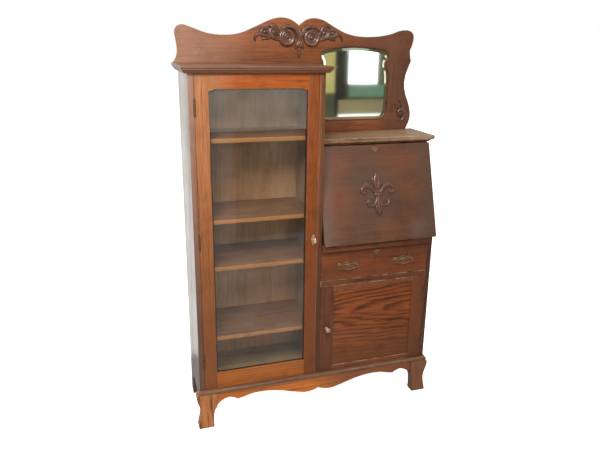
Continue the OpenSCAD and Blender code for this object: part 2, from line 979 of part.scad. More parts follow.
module drawer_front() {
  color(wood_orange)
    difference() {
      box([front_left, yf, drawer_z], [front_right, yf + drawer_t, drawer_top]);
      // groove for the bottom and rebates for the sides
      box([drawer_side_l + side_board_t, yf + 12, drawer_z + 10],
        [drawer_side_r - side_board_t, yf + drawer_t + 1, drawer_z + 16]);
      for (x = [drawer_side_l, drawer_side_r - side_board_t])
        box([x, yf + 12, drawer_z - 1], [x + side_board_t, yf + drawer_t + 1, drawer_top + 1]);
    }
}

module drawer_sides() {
  color(wood_pale)
    for (x = [drawer_side_l, drawer_side_r - side_board_t])
      box([x, yf + 12, drawer_z - 1], [x + side_board_t, drawer_end_y, drawer_top - 6]);
}

module drawer_back() {
  color(wood_pale)
    box([drawer_side_l + side_board_t, drawer_end_y - 12, drawer_z + 16],
      [drawer_side_r - side_board_t, drawer_end_y, drawer_top - 8]);
}

module drawer_bottom() {
  color(wood_pale)
    box([drawer_side_l + side_board_t, yf + 12, drawer_z + 10],
      [drawer_side_r - side_board_t, drawer_end_y, drawer_z + 16]);
}

pull_half = 38;
post_r = 4;
post_out = 16;
bail_y = yf - 1.6 - post_out + 4;
bail_r = 2.5;
bail_end_r = 1.9;
bail_knuckle_r = 3.1;
bail_bar_r = 2.2;

module drawer_pull_plates() {
  color(brass)
    for (s = [-1, 1])
      translate([front_mid + s * pull_dx, 0, pull_z]) {
        board_xz(yf - 1.6, yf)
          polygon([[-54, 2], [-36, 12], [-16, 10], [0, 16], [16, 10], [36, 12], [54, 2],
            [36, -8], [16, -9], [0, -17], [-16, -9], [-36, -8]]);
        for (t = [-1, 1])
          difference() {
            translate([t * pull_half, yf - 1.6, 2])
              rotate([90, 0, 0])
                cylinder(h = post_out, r = post_r);
            translate([t * pull_half, bail_y, 2])
              rotate([0, 90, 0])
                cylinder(h = 12, r = bail_end_r + pin_clear, center = true);
          }
      }
}

// A bail: two pins in the posts, two short arms with knuckles, and a shallow V with a barrel at its middle
module bail_at(x) {
  drop = 12;
  v_drop = 9;
  half = pull_half + 8;
  slope = atan(v_drop / half);
  color(brass)
    translate([x, bail_y, pull_z + 2]) {
      for (t = [-1, 1]) {
        translate([t > 0 ? pull_half - 5 : -half, 0, 0])
          rotate([0, 90, 0])
            cylinder(h = 13, r = bail_end_r);
        translate([t * half, 0, -drop])
          cylinder(h = drop + 3, r = bail_r);
        translate([t * half, 0, -drop])
          rotate([90, 0, 0])
            cylinder(h = 6, r = bail_knuckle_r, center = true);
        translate([t * half, 0, -drop])
          rotate([0, -t * (90 + slope), 0])
            cylinder(h = half / cos(slope), r = bail_bar_r);
      }
      translate([0, 0, -drop - v_drop])
        rotate([0, 90, 0])
          cylinder(h = 9, r = 3.8, center = true);
    }
}

module bail_left() {
  bail_at(front_mid - pull_dx);
}

module bail_right() {
  bail_at(front_mid + pull_dx);
}

module drawer_escutcheon() {
  color(brass)
    board_xz(yf - 1.5, yf)
      difference() {
        polygon(shift(concat(
          smooth([[-21, 9], [-10, 8], [0, 12], [10, 8], [21, 9]], 3),
          smooth([[21, 9], [14, -2], [5, -7], [0, -15], [-5, -7], [-14, -2], [-21, 9]], 3)),
          front_mid, drawer_top - 22));
        translate([front_mid, drawer_top - 22])
          circle(r = 2.4);
      }
}

// ---- cupboard door ----

cup_inner_l = cup_left + cup_stile_w;
cup_inner_r = cup_right - cup_stile_w;
cup_panel_z0 = door_bottom + cup_bottom_rail_w;
cup_panel_z1 = cupboard_top_z - cup_top_rail_w;
tongue = 8;

module cup_panel_room() {
  box([cup_inner_l - tongue, yf + 4, cup_panel_z0 - tongue],
    [cup_inner_r + tongue, yf + 12, cup_panel_z1 + tongue]);
}

module cupboard_stiles() {
  color(wood)
    for (x = [cup_left, cup_inner_r])
      difference() {
        box([x, yf, door_bottom], [x + cup_stile_w, yf + door_t, cupboard_top_z]);
        cup_panel_room();
        at_cup_hinges()
          hinge_room(small_hinge_len);
        translate([knob_x, yf - 1, knob_z])
          rotate([-90, 0, 0])
            cylinder(h = door_t + 2, r = knob_stem_r);
      }
}

module cupboard_rails() {
  color(wood)
    difference() {
      union() {
        box([cup_inner_l, yf, door_bottom], [cup_inner_r, yf + door_t, cup_panel_z0]);
        box([cup_inner_l, yf, cup_panel_z1], [cup_inner_r, yf + door_t, cupboard_top_z]);
      }
      cup_panel_room();
    }
}

module cupboard_panel() {
  color(wood_orange)
    box([cup_inner_l - tongue, yf + 4, cup_panel_z0 - tongue],
      [cup_inner_r + tongue, yf + 12, cup_panel_z1 + tongue]);
}

// A turned knob on a stem that passes through the stile
module cupboard_knob() {
  color(brass)
    translate([knob_x, yf + door_t, knob_z])
      rotate([90, 0, 0])
        rotate_extrude()
          polygon(concat([[0, 0], [knob_stem_r, 0], [knob_stem_r, door_t], [9, door_t]],
            smooth([[9, door_t], [7, door_t + 4], [5, door_t + 9], [9, door_t + 15], [12, door_t + 20],
              [9, door_t + 25], [0, door_t + 27]], 4)));
}

left_side_panel();
partition();
right_side_panel();
cornice_lower_board();
cornice_top_board();
bookcase_top();
bookcase_bottom();
bookcase_back();
shelves();
shelf_pins();
desk_back();
desk_top();
desk_top_moulding();
writing_bed();
drawer_rail();
drawer_runners();
cupboard_bottom();
pigeonholes();
base_ledge();
apron();
front_feet();
crest_top_rail();
crest_stiles();
crest_bottom_rail();
crest_carvings();
mirror_glass();
mirror_bead();
mirror_back_board();
hinge_leaves_fixed();
hinge_pins();
door_stile_left();
door_stile_right();
door_rail_top();
door_rail_bottom();
door_glass();
door_glass_beads();
door_hinge_leaves();
door_escutcheon();
door_lock_case();
door_lock_bolt();
door_key();
fall_board();
fall_carving();
fall_escutcheon();
fall_hinge_leaves();
stay_cranks();
stay_struts();
drawer_front();
drawer_sides();
drawer_back();
drawer_bottom();
drawer_pull_plates();
drawer_escutcheon();
bail_left();
bail_right();
cupboard_stiles();
cupboard_rails();
cupboard_panel();
cupboard_knob();
cupboard_hinge_leaves();
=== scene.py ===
"""Looks of a side-by-side oak secretary desk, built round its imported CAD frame."""

import json
import math

import bmesh
import bpy
import numpy as np
from mathutils import Matrix, Vector


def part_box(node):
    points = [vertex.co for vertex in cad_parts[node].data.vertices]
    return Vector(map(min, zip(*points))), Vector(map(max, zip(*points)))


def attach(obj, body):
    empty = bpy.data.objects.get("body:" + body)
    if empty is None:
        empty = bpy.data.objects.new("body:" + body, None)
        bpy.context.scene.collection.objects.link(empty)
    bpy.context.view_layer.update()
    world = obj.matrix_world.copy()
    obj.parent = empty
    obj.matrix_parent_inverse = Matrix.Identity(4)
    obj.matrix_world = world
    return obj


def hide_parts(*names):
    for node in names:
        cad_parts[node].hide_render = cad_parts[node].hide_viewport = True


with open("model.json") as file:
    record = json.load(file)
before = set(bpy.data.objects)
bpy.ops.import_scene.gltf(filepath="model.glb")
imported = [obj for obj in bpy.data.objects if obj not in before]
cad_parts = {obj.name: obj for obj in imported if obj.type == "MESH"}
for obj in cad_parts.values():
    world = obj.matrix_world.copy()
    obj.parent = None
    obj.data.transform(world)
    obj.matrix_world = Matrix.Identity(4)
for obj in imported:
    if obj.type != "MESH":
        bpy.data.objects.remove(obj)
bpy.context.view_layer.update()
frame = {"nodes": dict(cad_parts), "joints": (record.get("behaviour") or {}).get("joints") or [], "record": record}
NODES = frame["nodes"]
BODY_OF = {n: b for b, ns in frame["record"]["behaviour"]["bodies"].items() for n in ns}
MM = 0.001


# ---------------------------------------------------------------- materials

class Shader:
    """A material's node tree, with short calls for the nodes used here."""

    def __init__(self, name):
        self.mat = bpy.data.materials.new(name)
        self.mat.use_nodes = True
        self.tree = self.mat.node_tree
        self.tree.nodes.clear()
        self.out = self.tree.nodes.new("ShaderNodeOutputMaterial")

    def node(self, kind, inputs=(), **props):
        n = self.tree.nodes.new(kind)
        for key, value in props.items():
            setattr(n, key, value)
        for key, value in dict(inputs).items():
            self.put(n.inputs[key], value)
        return n

    def put(self, socket, value):
        if isinstance(value, bpy.types.NodeSocket):
            self.tree.links.new(value, socket)
        else:
            socket.default_value = value

    def math(self, op, a, b=0.0, c=0.0, clamp=False):
        n = self.node("ShaderNodeMath", operation=op, use_clamp=clamp)
        for socket, value in zip(n.inputs, (a, b, c)):
            self.put(socket, value)
        return n.outputs[0]

    def add(self, a, b, clamp=False):
        return self.math("ADD", a, b, clamp=clamp)

    def sub(self, a, b):
        return self.math("SUBTRACT", a, b)

    def mul(self, a, b, clamp=False):
        return self.math("MULTIPLY", a, b, clamp=clamp)

    def scaled(self, a, b, c):
        """a times b, plus c."""
        return self.math("MULTIPLY_ADD", a, b, c)

    def mix(self, fac, a, b):
        n = self.node("ShaderNodeMix", data_type="RGBA")
        for name, value in (("Factor", fac), ("A", a), ("B", b)):
            socket = [s for s in n.inputs if s.name == name and s.enabled][0]
            self.put(socket, (*value, 1) if isinstance(value, tuple) and len(value) == 3 else value)
        return [s for s in n.outputs if s.enabled][0]

    def noise(self, vector, scale, detail=3.0, rough=0.55):
        n = self.node("ShaderNodeTexNoise", {"Vector": vector, "Scale": scale, "Detail": detail,
                                             "Roughness": rough})
        return n.outputs["Fac"]

    def ramp(self, value, low, high):
        n = self.node("ShaderNodeMapRange", {"Value": value, "From Min": low, "From Max": high}, clamp=True)
        return n.outputs[0]

    def place(self):
        """Where a point is in the piece's own frame, which is the row frame at rest, in metres."""
        return self.node("ShaderNodeTexCoord").outputs["Object"]

    def done(self, shader):
        self.tree.links.new(shader, self.out.inputs["Surface"])
        return self.mat


def wood(name, grain, width, light, dark, rings=55, heart=(-0.35, 0.02), tilt=0.0, warp=0.012,
         contrast=0.45, pores=0.5, tone=0.3, rough=0.42, coat=0.06, shine=0.25, worn=(0.34, 0.18, 0.09),
         rays=0.0, fade=(), warm=None, carved=False, bands=1.0, streaks=1.0, stains_and_shade=(), seed=0.0):
    """Oak: growth rings about a heart off to one side, pores, patches of tone, and rubbed edges, whose pale colour
    is also a painted highlight on a few boards.
    grain and width are the axes along and across the board, heart is where the rings' centre is across it
    and behind it in metres, and tilt leans the heart along the grain, which makes the arched figure."""
    s = Shader(name)
    split = s.node("ShaderNodeSeparateXYZ", {"Vector": s.place()})
    depth = next(a for a in "XYZ" if a not in (grain, width))
    g, w, d = (split.outputs[a] for a in (grain, width, depth))
    board = s.node("ShaderNodeCombineXYZ", {"X": w, "Y": d, "Z": s.scaled(g, 0.16, seed)}).outputs[0]
    drift = s.sub(s.noise(board, 5.0, 2.0), 0.5)
    ripple = s.sub(s.noise(board, 28.0, 2.0), 0.5)
    wander = s.scaled(drift, warp * 6, s.mul(ripple, warp * 0.8))
    across = s.add(s.sub(w, heart[0]), wander)
    behind = s.add(s.scaled(g, tilt, s.sub(d, -heart[1])), wander)
    radius = s.math("SQRT", s.add(s.mul(across, across), s.mul(behind, behind)))
    uneven = s.mul(s.sub(s.noise(board, 16.0, 3.0), 0.5), 2.2)
    phase = s.math("FRACT", s.scaled(radius, rings, uneven))
    early = s.mul(s.ramp(phase, 0.0, 0.22), s.ramp(phase, 1.0, 0.45))
    strength = s.scaled(s.noise(board, 9.0, 2.0), 1.5, -0.15)
    fine = s.node("ShaderNodeCombineXYZ", {"X": w, "Y": d, "Z": s.scaled(g, 0.025, seed)}).outputs[0]
    streak = s.noise(fine, 260.0, 3.0, 0.6)
    pore = s.mul(s.ramp(s.noise(fine, 900.0, 2.0, 0.6), 0.56, 0.70), s.sub(1.0, s.mul(early, 0.6)))
    patch = s.noise(board, 3.2, 3.0)
    lines = s.mul(s.sub(1.0, early), s.mul(strength, contrast))
    band = s.mul(s.sub(s.noise(fine, 110.0, 3.0, 0.65), 0.5), 1.9 * bands)
    shade = s.add(s.add(lines, s.add(band, 0.26 - 0.2 * contrast)),
                  s.mul(s.sub(streak, 0.5), 2.6 * streaks), clamp=True)
    colour = s.mix(shade, light, dark)
    if rays:
        cross = s.node("ShaderNodeCombineXYZ", {"X": s.mul(w, 0.12), "Y": d, "Z": g}).outputs[0]
        fleck = s.ramp(s.noise(cross, 75.0, 3.0, 0.6), 0.5, 0.72)
        colour = s.mix(s.mul(fleck, rays), colour, dark)
    if warm:
        colour = s.mix(s.mul(s.ramp(s.noise(board, 7.0, 3.0), 0.44, 0.62), 0.7), colour, warm)
    # each fade blends towards another colour along an axis; on several boards this is painted light and shade,
    # noted where the fades are set
    for axis, start, end, other in fade:
        colour = s.mix(s.ramp(split.outputs[axis], start, end), colour, s.mix(0.85, colour, other))
    blotch = s.noise(s.place(), 16.0, 5.0, 0.62)
    # spots of another colour round a point in X and Z; on the fall the large dark one round the carving is painted
    # shade, the rest are mottling of the finish
    for x, z, size, share, other in stains_and_shade:
        off_x = s.math("DIVIDE", s.sub(split.outputs["X"], x), size)
        off_z = s.math("DIVIDE", s.sub(split.outputs["Z"], z), size)
        far = s.math("SQRT", s.add(s.mul(off_x, off_x), s.mul(off_z, off_z)))
        far = s.scaled(blotch, 0.8, s.sub(far, 0.4))
        colour = s.mix(s.mul(s.ramp(far, 1.25, 0.25), share), colour, other)
    deep = tuple(c * 0.35 for c in dark)
    colour = s.mix(s.mul(s.ramp(blotch, 0.50, 0.74), 0.30), colour, deep)
    colour = s.mix(s.mul(s.ramp(patch, 0.42, 0.75), tone), colour, deep)
    colour = s.mix(s.mul(pore, pores), colour, deep)
    edge = s.node("ShaderNodeAttribute", attribute_name="worn").outputs["Fac"]
    if carved:
        # painted shade: the low parts of a carving are darkened from its stored height, where its hollows fall
        # into shade
        colour = s.mix(s.ramp(edge, 0.40, 0.05), colour, tuple(c * 0.6 for c in deep))
        edge = s.ramp(edge, 0.5, 0.95)
    # rubbed edges take the edge colour; on the drawer rail and the cupboard rails that pale colour is also a
    # painted highlight, glints along their edges
    rub = s.mul(edge, s.ramp(s.noise(s.place(), 38.0, 4.0), 0.40, 0.62))
    colour = s.mix(s.mul(rub, 0.75), colour, worn)
    scuff = s.noise(s.place(), 14.0, 5.0, 0.65)
    gloss = s.add(s.scaled(scuff, 0.30, rough - 0.15), s.mul(pore, 0.15), clamp=True)
    height = s.sub(s.mul(streak, 0.5), s.mul(pore, 0.8))
    bump = s.node("ShaderNodeBump", {"Height": height, "Strength": 0.35, "Distance": 0.0004}).outputs[0]
    bsdf = s.node("ShaderNodeBsdfPrincipled", {"Base Color": colour, "Roughness": gloss, "Normal": bump,
                                               "Coat Weight": coat, "Coat Roughness": 0.22,
                                               "Specular IOR Level": shine})
    return s.done(bsdf.outputs[0])


def metal(name, colour, dull, rough=0.38, spots=0.6, metallic=1.0, hollows=0.0):
    """Brass with brown tarnish that gathers in patches and is rubbed off the edges."""
    s = Shader(name)
    p = s.place()
    patch = s.ramp(s.noise(p, 90.0, 5.0, 0.6), 0.38, 0.66)
    grain = s.noise(p, 900.0, 3.0)
    edge = s.node("ShaderNodeAttribute", attribute_name="worn").outputs["Fac"]
    cover = s.mul(s.mul(patch, spots), s.scaled(edge, -0.6, 1.0))
    if hollows:
        cover = s.math("MAXIMUM", cover, s.mul(s.ramp(edge, 0.75, 0.45), hollows))
    base = s.mix(cover, colour, dull)
    gloss = s.add(s.scaled(patch, 0.25, rough - 0.1), s.mul(grain, 0.1))
    bump = s.node("ShaderNodeBump", {"Height": s.add(patch, grain), "Strength": 0.2,
                                     "Distance": 0.0002}).outputs[0]
    return s.done(s.node("ShaderNodeBsdfPrincipled", {"Base Color": base, "Roughness": gloss,
                                                      "Normal": bump, "Metallic": metallic}).outputs[0])


def pane(name, low, high):
    """Old window glass: see-through, a little wavy, with a thin powdery film, and a dark band along the door's
    frame that is painted shadow of the frame with some dirt in it.
    low and high are the corners of the door's opening."""
    s = Shader(name)
    p = s.place()
    wave = s.node("ShaderNodeBump", {"Height": s.noise(p, 7.0, 1.0), "Strength": 0.1,
                                     "Distance": 0.001}).outputs[0]
    dust_and_shadow = s.scaled(s.ramp(s.noise(p, 9.0, 5.0), 0.4, 0.8), 0.016, 0.004)
    x, _, z = s.node("ShaderNodeSeparateXYZ", {"Vector": p}).outputs
    from_side = s.math("MINIMUM", s.sub(x, low.x), s.sub(high.x, x))
    # the top rail comes down at both ends of the opening
    corner_drop = s.mul(s.ramp(from_side, 34 * MM, 12 * MM), 6.5 * MM)
    from_top = s.sub(s.sub(high.z, corner_drop), z)
    from_edge = s.math("MINIMUM", from_side, s.math("MINIMUM", from_top, s.sub(z, low.z)))
    # painted shadow: a dark band where the frame's shadow falls on the glass, with some dirt gathered along the
    # frame
    frame_shadow_and_grime = s.ramp(from_edge, 7.0 * MM, 4.0 * MM)
    dust_and_shadow = s.math("MAXIMUM", dust_and_shadow, s.mul(frame_shadow_and_grime, 0.65))
    through = s.node("ShaderNodeBsdfTransparent", {"Color": (0.92, 0.945, 0.93, 1)})
    film = s.node("ShaderNodeBsdfDiffuse", {
        "Color": s.mix(s.mul(frame_shadow_and_grime, 6.0, clamp=True), (0.70, 0.66, 0.60), (0.020, 0.013, 0.010))})
    shine = s.node("ShaderNodeBsdfGlossy", {"Color": (1, 1, 1, 1), "Roughness": 0.02, "Normal": wave})
    fresnel = s.node("ShaderNodeFresnel", {"IOR": 1.5}).outputs[0]
    # only the face that a ray meets first mirrors, and it has both faces' share
    outer = s.sub(1.0, s.node("ShaderNodeNewGeometry").outputs["Backfacing"])
    fresnel = s.mul(s.mul(fresnel, 1.85), outer, clamp=True)
    dust_and_shadow_film = s.node("ShaderNodeMixShader", {0: dust_and_shadow, 1: through.outputs[0], 2: film.outputs[0]})
    both = s.node("ShaderNodeMixShader", {0: fresnel, 1: dust_and_shadow_film.outputs[0], 2: shine.outputs[0]})
    return s.done(both.outputs[0])


def silvered(name):
    """Mirror plate with faint clouding of the silver."""
    s = Shader(name)
    p = s.place()
    cloud = s.ramp(s.noise(p, 22.0, 6.0, 0.7), 0.62, 0.80)
    base = s.mix(cloud, (0.86, 0.89, 0.87), (0.55, 0.56, 0.50))
    gloss = s.scaled(cloud, 0.25, 0.04)
    return s.done(s.node("ShaderNodeBsdfPrincipled", {"Base Color": base, "Roughness": gloss,
                                                      "Metallic": 1.0}).outputs[0])


PARTITION_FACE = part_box("partition")[0].x
LEFT_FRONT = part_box("left_side_panel")[0].y
SHELF_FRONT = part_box("shelves")[0].y
BROWN, PLUM = (0.125, 0.041, 0.016), (0.095, 0.034, 0.017)
BLACK_OAK = (0.022, 0.009, 0.006)
RAW = (0.33, 0.20, 0.11)

LOOKS = {
    "left_side_panel": wood(
        "side_left", "Z", "Y", (0.075, 0.030, 0.016), BLACK_OAK, heart=(-0.30, 0.05), tilt=0.02,
        fade=[("Y", LEFT_FRONT + 2.0 * MM, LEFT_FRONT + 0.8 * MM, (0.26, 0.130, 0.082)),
              ("Z", 1.35, 0.55, (0.085, 0.034, 0.017))], rough=0.33, coat=0.6, shine=0.5,
        worn=(0.22, 0.11, 0.065), seed=1.3),
    "partition": wood(
        "side_middle", "Z", "Y", (0.185, 0.064, 0.021), (0.050, 0.019, 0.009), heart=(0.36, 0.05),
        # the Z fade darkens it towards the bottom: painted shade
        worn=(0.17, 0.075, 0.035), fade=[("Z", 1.2, 0.6, (0.060, 0.021, 0.009)),
              ("X", PARTITION_FACE + 1.0 * MM, PARTITION_FACE + 0.2 * MM, (0.45, 0.29, 0.22))], seed=2.1),
    "right_side_panel": wood(
        "side_right", "Z", "Y", PLUM, BLACK_OAK, heart=(0.30, 0.05), tilt=0.02, seed=3.7),
    "cornice_lower_board": wood(
        "cornice_low", "X", "Y", (0.165, 0.062, 0.030), (0.07, 0.026, 0.014), seed=4.2),
    "cornice_top_board": wood(
        "cornice_high", "X", "Y", (0.150, 0.066, 0.034), (0.070, 0.028, 0.014), worn=(0.22, 0.105, 0.055),
        seed=5.0),
    "bookcase_top": wood("case_top", "X", "Y", BROWN, BLACK_OAK, seed=5.5),
    "bookcase_bottom": wood("case_floor", "X", "Y", (0.48, 0.30, 0.15), (0.23, 0.125, 0.06), seed=6.1),
    "bookcase_back": wood(
        "back_boards", "Z", "X", (0.56, 0.305, 0.172), (0.26, 0.130, 0.070), heart=(-0.1, 0.08), tilt=0.05,
        rough=0.6, coat=0.0, contrast=0.45, bands=0.3, streaks=0.4, tone=0.6, warm=(0.54, 0.24, 0.11),
        seed=6.6),
    "shelves": wood(
        "shelf_boards", "X", "Y", (0.30, 0.140, 0.086), (0.14, 0.062, 0.035), heart=(0.1, 0.05), tilt=0.03,
        # the fade paints the front edges a brighter orange than the tops: painted light on the lit fronts
        fade=[("Y", SHELF_FRONT + 2.5 * MM, SHELF_FRONT + 1.5 * MM, (0.44, 0.165, 0.045))],
        worn=(0.50, 0.22, 0.075), seed=7.3),
    "desk_back": wood(
        "desk_back_boards", "Z", "X", (0.48, 0.28, 0.155), (0.22, 0.115, 0.06), heart=(0.4, 0.08),
        rough=0.6, coat=0.0, bands=0.5, tone=0.6, warm=(0.50, 0.25, 0.12), seed=7.9),
    "desk_top": wood(
        "desk_top_board", "X", "Y", (0.21, 0.115, 0.055), (0.09, 0.038, 0.02), heart=(0.0, 0.06), tilt=0.04,
        # the fade, paler and greyer towards the right, is a painted reflection in the polish
        rough=0.5, coat=0.1, fade=[("X", 0.22, 0.50, (0.30, 0.20, 0.125))], worn=(0.55, 0.40, 0.26),
        seed=8.4),
    "desk_top_moulding": wood("desk_cove", "X", "Z", (0.155, 0.058, 0.028), (0.07, 0.026, 0.014), seed=8.8),
    "writing_bed": wood("bed_board", "X", "Y", (0.135, 0.042, 0.016), BLACK_OAK, seed=9.1),
    # the pale edge colour here is a painted highlight, glints along the rail's edges, as well as wear
    "drawer_rail": wood("rail_board", "X", "Z", BROWN, BLACK_OAK, worn=(0.50, 0.36, 0.26), seed=9.4),
    "drawer_runners": wood("runner_wood", "Y", "X", RAW, (0.18, 0.10, 0.05), rough=0.7, coat=0.0, seed=9.9),
    "cupboard_bottom": wood("cupboard_floor", "X", "Y", BROWN, BLACK_OAK, seed=10.3),
    "pigeonholes": wood(
        "rack_wood", "X", "Y", (0.26, 0.13, 0.06), (0.12, 0.05, 0.02), rough=0.55, coat=0.1, seed=10.9),
    "base_ledge": wood(
        "ledge_board", "X", "Y", (0.175, 0.085, 0.048), (0.060, 0.028, 0.016), seed=11.2,
        worn=(0.34, 0.21, 0.13)),
    "apron": wood(
        "apron_board", "X", "Z", (0.52, 0.150, 0.016), (0.18, 0.044, 0.010), seed=11.8, bands=1.4,
        # the fades are painted shade: darker towards the right, where less light falls, and towards the top, the
        # ledge's shadow
        coat=0.15, shine=0.3, fade=[("X", -0.06, 0.12, (0.150, 0.050, 0.017)),
              ("X", 0.10, 0.45, (0.100, 0.039, 0.017)), ("Z", 0.115, 0.175, (0.17, 0.054, 0.016))]),
    "front_feet": wood(
        "foot_wood", "Z", "X", (0.40, 0.150, 0.045), (0.09, 0.032, 0.016), contrast=0.75, bands=1.5,
        # the fade darkens the right foot: painted shade
        tone=0.6, fade=[("X", -0.2, 0.4, (0.105, 0.044, 0.023))], seed=12.3),
    "crest_top_rail": wood(
        "crest_board", "X", "Z", (0.172, 0.056, 0.019), (0.075, 0.025, 0.012), heart=(1.35, 0.05),
        # the fades are painted light: darker towards the right as painted shade, and paler at the left end as
        # painted haze of light
        warm=(0.24, 0.064, 0.016), fade=[("X", 0.05, 0.38, (0.100, 0.042, 0.024)),
              ("X", -0.22, -0.55, (0.235, 0.112, 0.064))], bands=1.5, streaks=1.5, seed=12.9),
    "crest_stiles": wood(
        "crest_upright", "Z", "X", (0.110, 0.044, 0.023), (0.070, 0.028, 0.016), heart=(0.1, 0.10),
        contrast=0.35, bands=0.5, streaks=0.6, seed=13.5),
    "crest_bottom_rail": wood(
        "crest_low_board", "X", "Z", (0.205, 0.066, 0.024), (0.090, 0.032, 0.016), heart=(1.1, 0.10),
        # the fade darkens its right end: painted shade
        fade=[("X", 0.36, 0.44, (0.105, 0.044, 0.024))], seed=14.1),
    "mirror_back_board": wood(
        "mirror_backing", "X", "Z", RAW, (0.18, 0.10, 0.05), rough=0.75, coat=0.0, seed=14.6),
    "door_stile_left": wood(
        "door_upright_left", "Z", "X", (0.32, 0.120, 0.042), (0.12, 0.040, 0.018), heart=(-0.75, 0.05),
        # the fade darkens it towards the bottom: painted shade
        rings=80, fade=[("Z", 1.25, 0.45, (0.155, 0.047, 0.013))], seed=15.2),
    "door_stile_right": wood(
        "door_upright_right", "Z", "X", (0.205, 0.051, 0.009), (0.08, 0.022, 0.007), heart=(0.30, 0.05),
        # the fade darkens it towards the bottom: painted shade
        rings=80, fade=[("Z", 1.2, 0.6, (0.14, 0.037, 0.009))], worn=(0.27, 0.115, 0.045), seed=15.9),
    "door_rail_top": wood(
        "door_high_rail", "X", "Z", (0.33, 0.073, 0.0075), (0.12, 0.028, 0.006), heart=(1.3, 0.05),
        rings=80, fade=[("X", -0.37, -0.46, (0.30, 0.125, 0.050))], seed=16.4),
    "door_rail_bottom": wood(
        "door_low_rail", "X", "Z", (0.32, 0.094, 0.014), (0.12, 0.034, 0.009), heart=(0.0, 0.05), rings=80,
        seed=17.0),
    "door_glass_beads": wood("bead_wood", "Z", "X", BROWN, BLACK_OAK, seed=17.5),
    "fall_board": wood(
        "fall_wood", "X", "Z", (0.092, 0.040, 0.023), (0.052, 0.023, 0.015), heart=(0.95, -0.25), tilt=0.03,
        tone=0.2, contrast=0.3, bands=0.6, warm=(0.150, 0.050, 0.021),
        fade=[("X", 0.08, 0.01, (0.102, 0.066, 0.052)), ("X", 0.43, 0.52, (0.078, 0.044, 0.028))],
        # the first spot, dark round the carving, is painted shade; the others are mottling of the finish
        stains_and_shade=[(0.262, 1.04, 0.15, 0.75, (0.060, 0.041, 0.029)),
              (0.46, 0.87, 0.05, 0.45, (0.10, 0.072, 0.06)), (0.36, 1.15, 0.10, 0.32, (0.15, 0.050, 0.022)),
              (0.08, 1.01, 0.08, 0.32, (0.15, 0.050, 0.024)),
              (0.07, 1.17, 0.06, 0.32, (0.155, 0.050, 0.022)),
              (0.44, 1.03, 0.055, 0.35, (0.145, 0.048, 0.022)),
              (0.31, 0.88, 0.06, 0.32, (0.145, 0.048, 0.022)),
              (0.17, 0.90, 0.08, 0.35, (0.062, 0.032, 0.023))], seed=18.1),
    "drawer_front": wood(
        "drawer_wood", "X", "Z", (0.124, 0.037, 0.013), (0.052, 0.017, 0.008), warm=(0.18, 0.046, 0.011),
        bands=0.5, heart=(0.6, 0.06), rays=0.55, seed=18.8),
    "drawer_sides": wood(
        "drawer_side_wood", "Y", "Z", RAW, (0.20, 0.11, 0.06), rough=0.65, coat=0.0, seed=19.2),
    "drawer_back": wood(
        "drawer_back_wood", "X", "Z", RAW, (0.20, 0.11, 0.06), rough=0.65, coat=0.0, seed=19.6),
    "drawer_bottom": wood(
        "drawer_floor_wood", "X", "Y", RAW, (0.20, 0.11, 0.06), rough=0.65, coat=0.0, seed=20.0),
    "cupboard_stiles": wood(
        "cupboard_uprights", "Z", "X", (0.115, 0.034, 0.014), (0.05, 0.017, 0.009), heart=(-0.4, 0.05),
        # the Z fade darkens them towards the bottom: painted shade
        rings=80, fade=[("X", 0.3, 0.48, (0.118, 0.037, 0.013)), ("Z", 0.34, 0.20, (0.080, 0.028, 0.012))],
        seed=20.5),
    "cupboard_rails": wood(
        "cupboard_rail_wood", "X", "Z", (0.165, 0.050, 0.018), (0.06, 0.020, 0.010),
        # the pale edge colour is a painted highlight, glints along the rails' edges, as well as wear
        worn=(0.46, 0.32, 0.22), seed=21.0),
    "cupboard_panel": wood(
        "cupboard_panel_wood", "X", "Z", (0.20, 0.050, 0.010), (0.014, 0.006, 0.004), heart=(0.47, 0.035),
        tilt=0.12, rings=50, contrast=1.0, warp=0.014, bands=0.4,
        fade=[("Z", 0.38, 0.20, (0.105, 0.036, 0.012))], seed=21.6),
}
# carved=True darkens the carvings' low parts: painted shade in their hollows
CARVED = wood("carved_oak", "X", "Z", (0.100, 0.038, 0.020), (0.050, 0.020, 0.012), rough=0.27, coat=0.35,
              shine=0.5, tone=0.2, contrast=0.3, worn=(0.17, 0.090, 0.055), carved=True, seed=22.2)
BEADING = wood("bead_round", "X", "Z", (0.12, 0.05, 0.03), BLACK_OAK, rough=0.35, seed=22.8)
OLD_BRASS = metal("old_brass", (0.25, 0.135, 0.065), (0.08, 0.040, 0.022), rough=0.45, spots=0.8,
                  metallic=0.55)
DULL_IRON = metal("dull_iron", (0.15, 0.085, 0.045), (0.06, 0.032, 0.018), rough=0.5, spots=0.8,
                  metallic=0.6)
PLATE_BRASS = metal("plate_brass", (0.30, 0.175, 0.090), (0.055, 0.028, 0.014), rough=0.42, spots=0.5,
                    metallic=0.5, hollows=0.9)
KEY_BRASS = metal("key_brass", (0.80, 0.64, 0.40), (0.30, 0.19, 0.10), rough=0.30, spots=0.3, metallic=0.35)
PALE_BRASS = metal("pale_brass", (0.52, 0.38, 0.24), (0.20, 0.13, 0.075), rough=0.32, spots=0.5,
                   metallic=0.7)
STEEL = metal("plain_steel", (0.42, 0.40, 0.37), (0.10, 0.08, 0.06), spots=0.5)
RABBET = Vector((7 * MM, 0.0, 7 * MM))  # how far the pane reaches behind the frame
GLASS = pane("old_window_glass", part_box("door_glass")[0] + RABBET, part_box("door_glass")[1] - RABBET)
SILVER = silvered("silvered_plate")


# ---------------------------------------------------------------- mesh helpers

EDGE = 1.2 * MM  # how far an ordinary edge is rounded


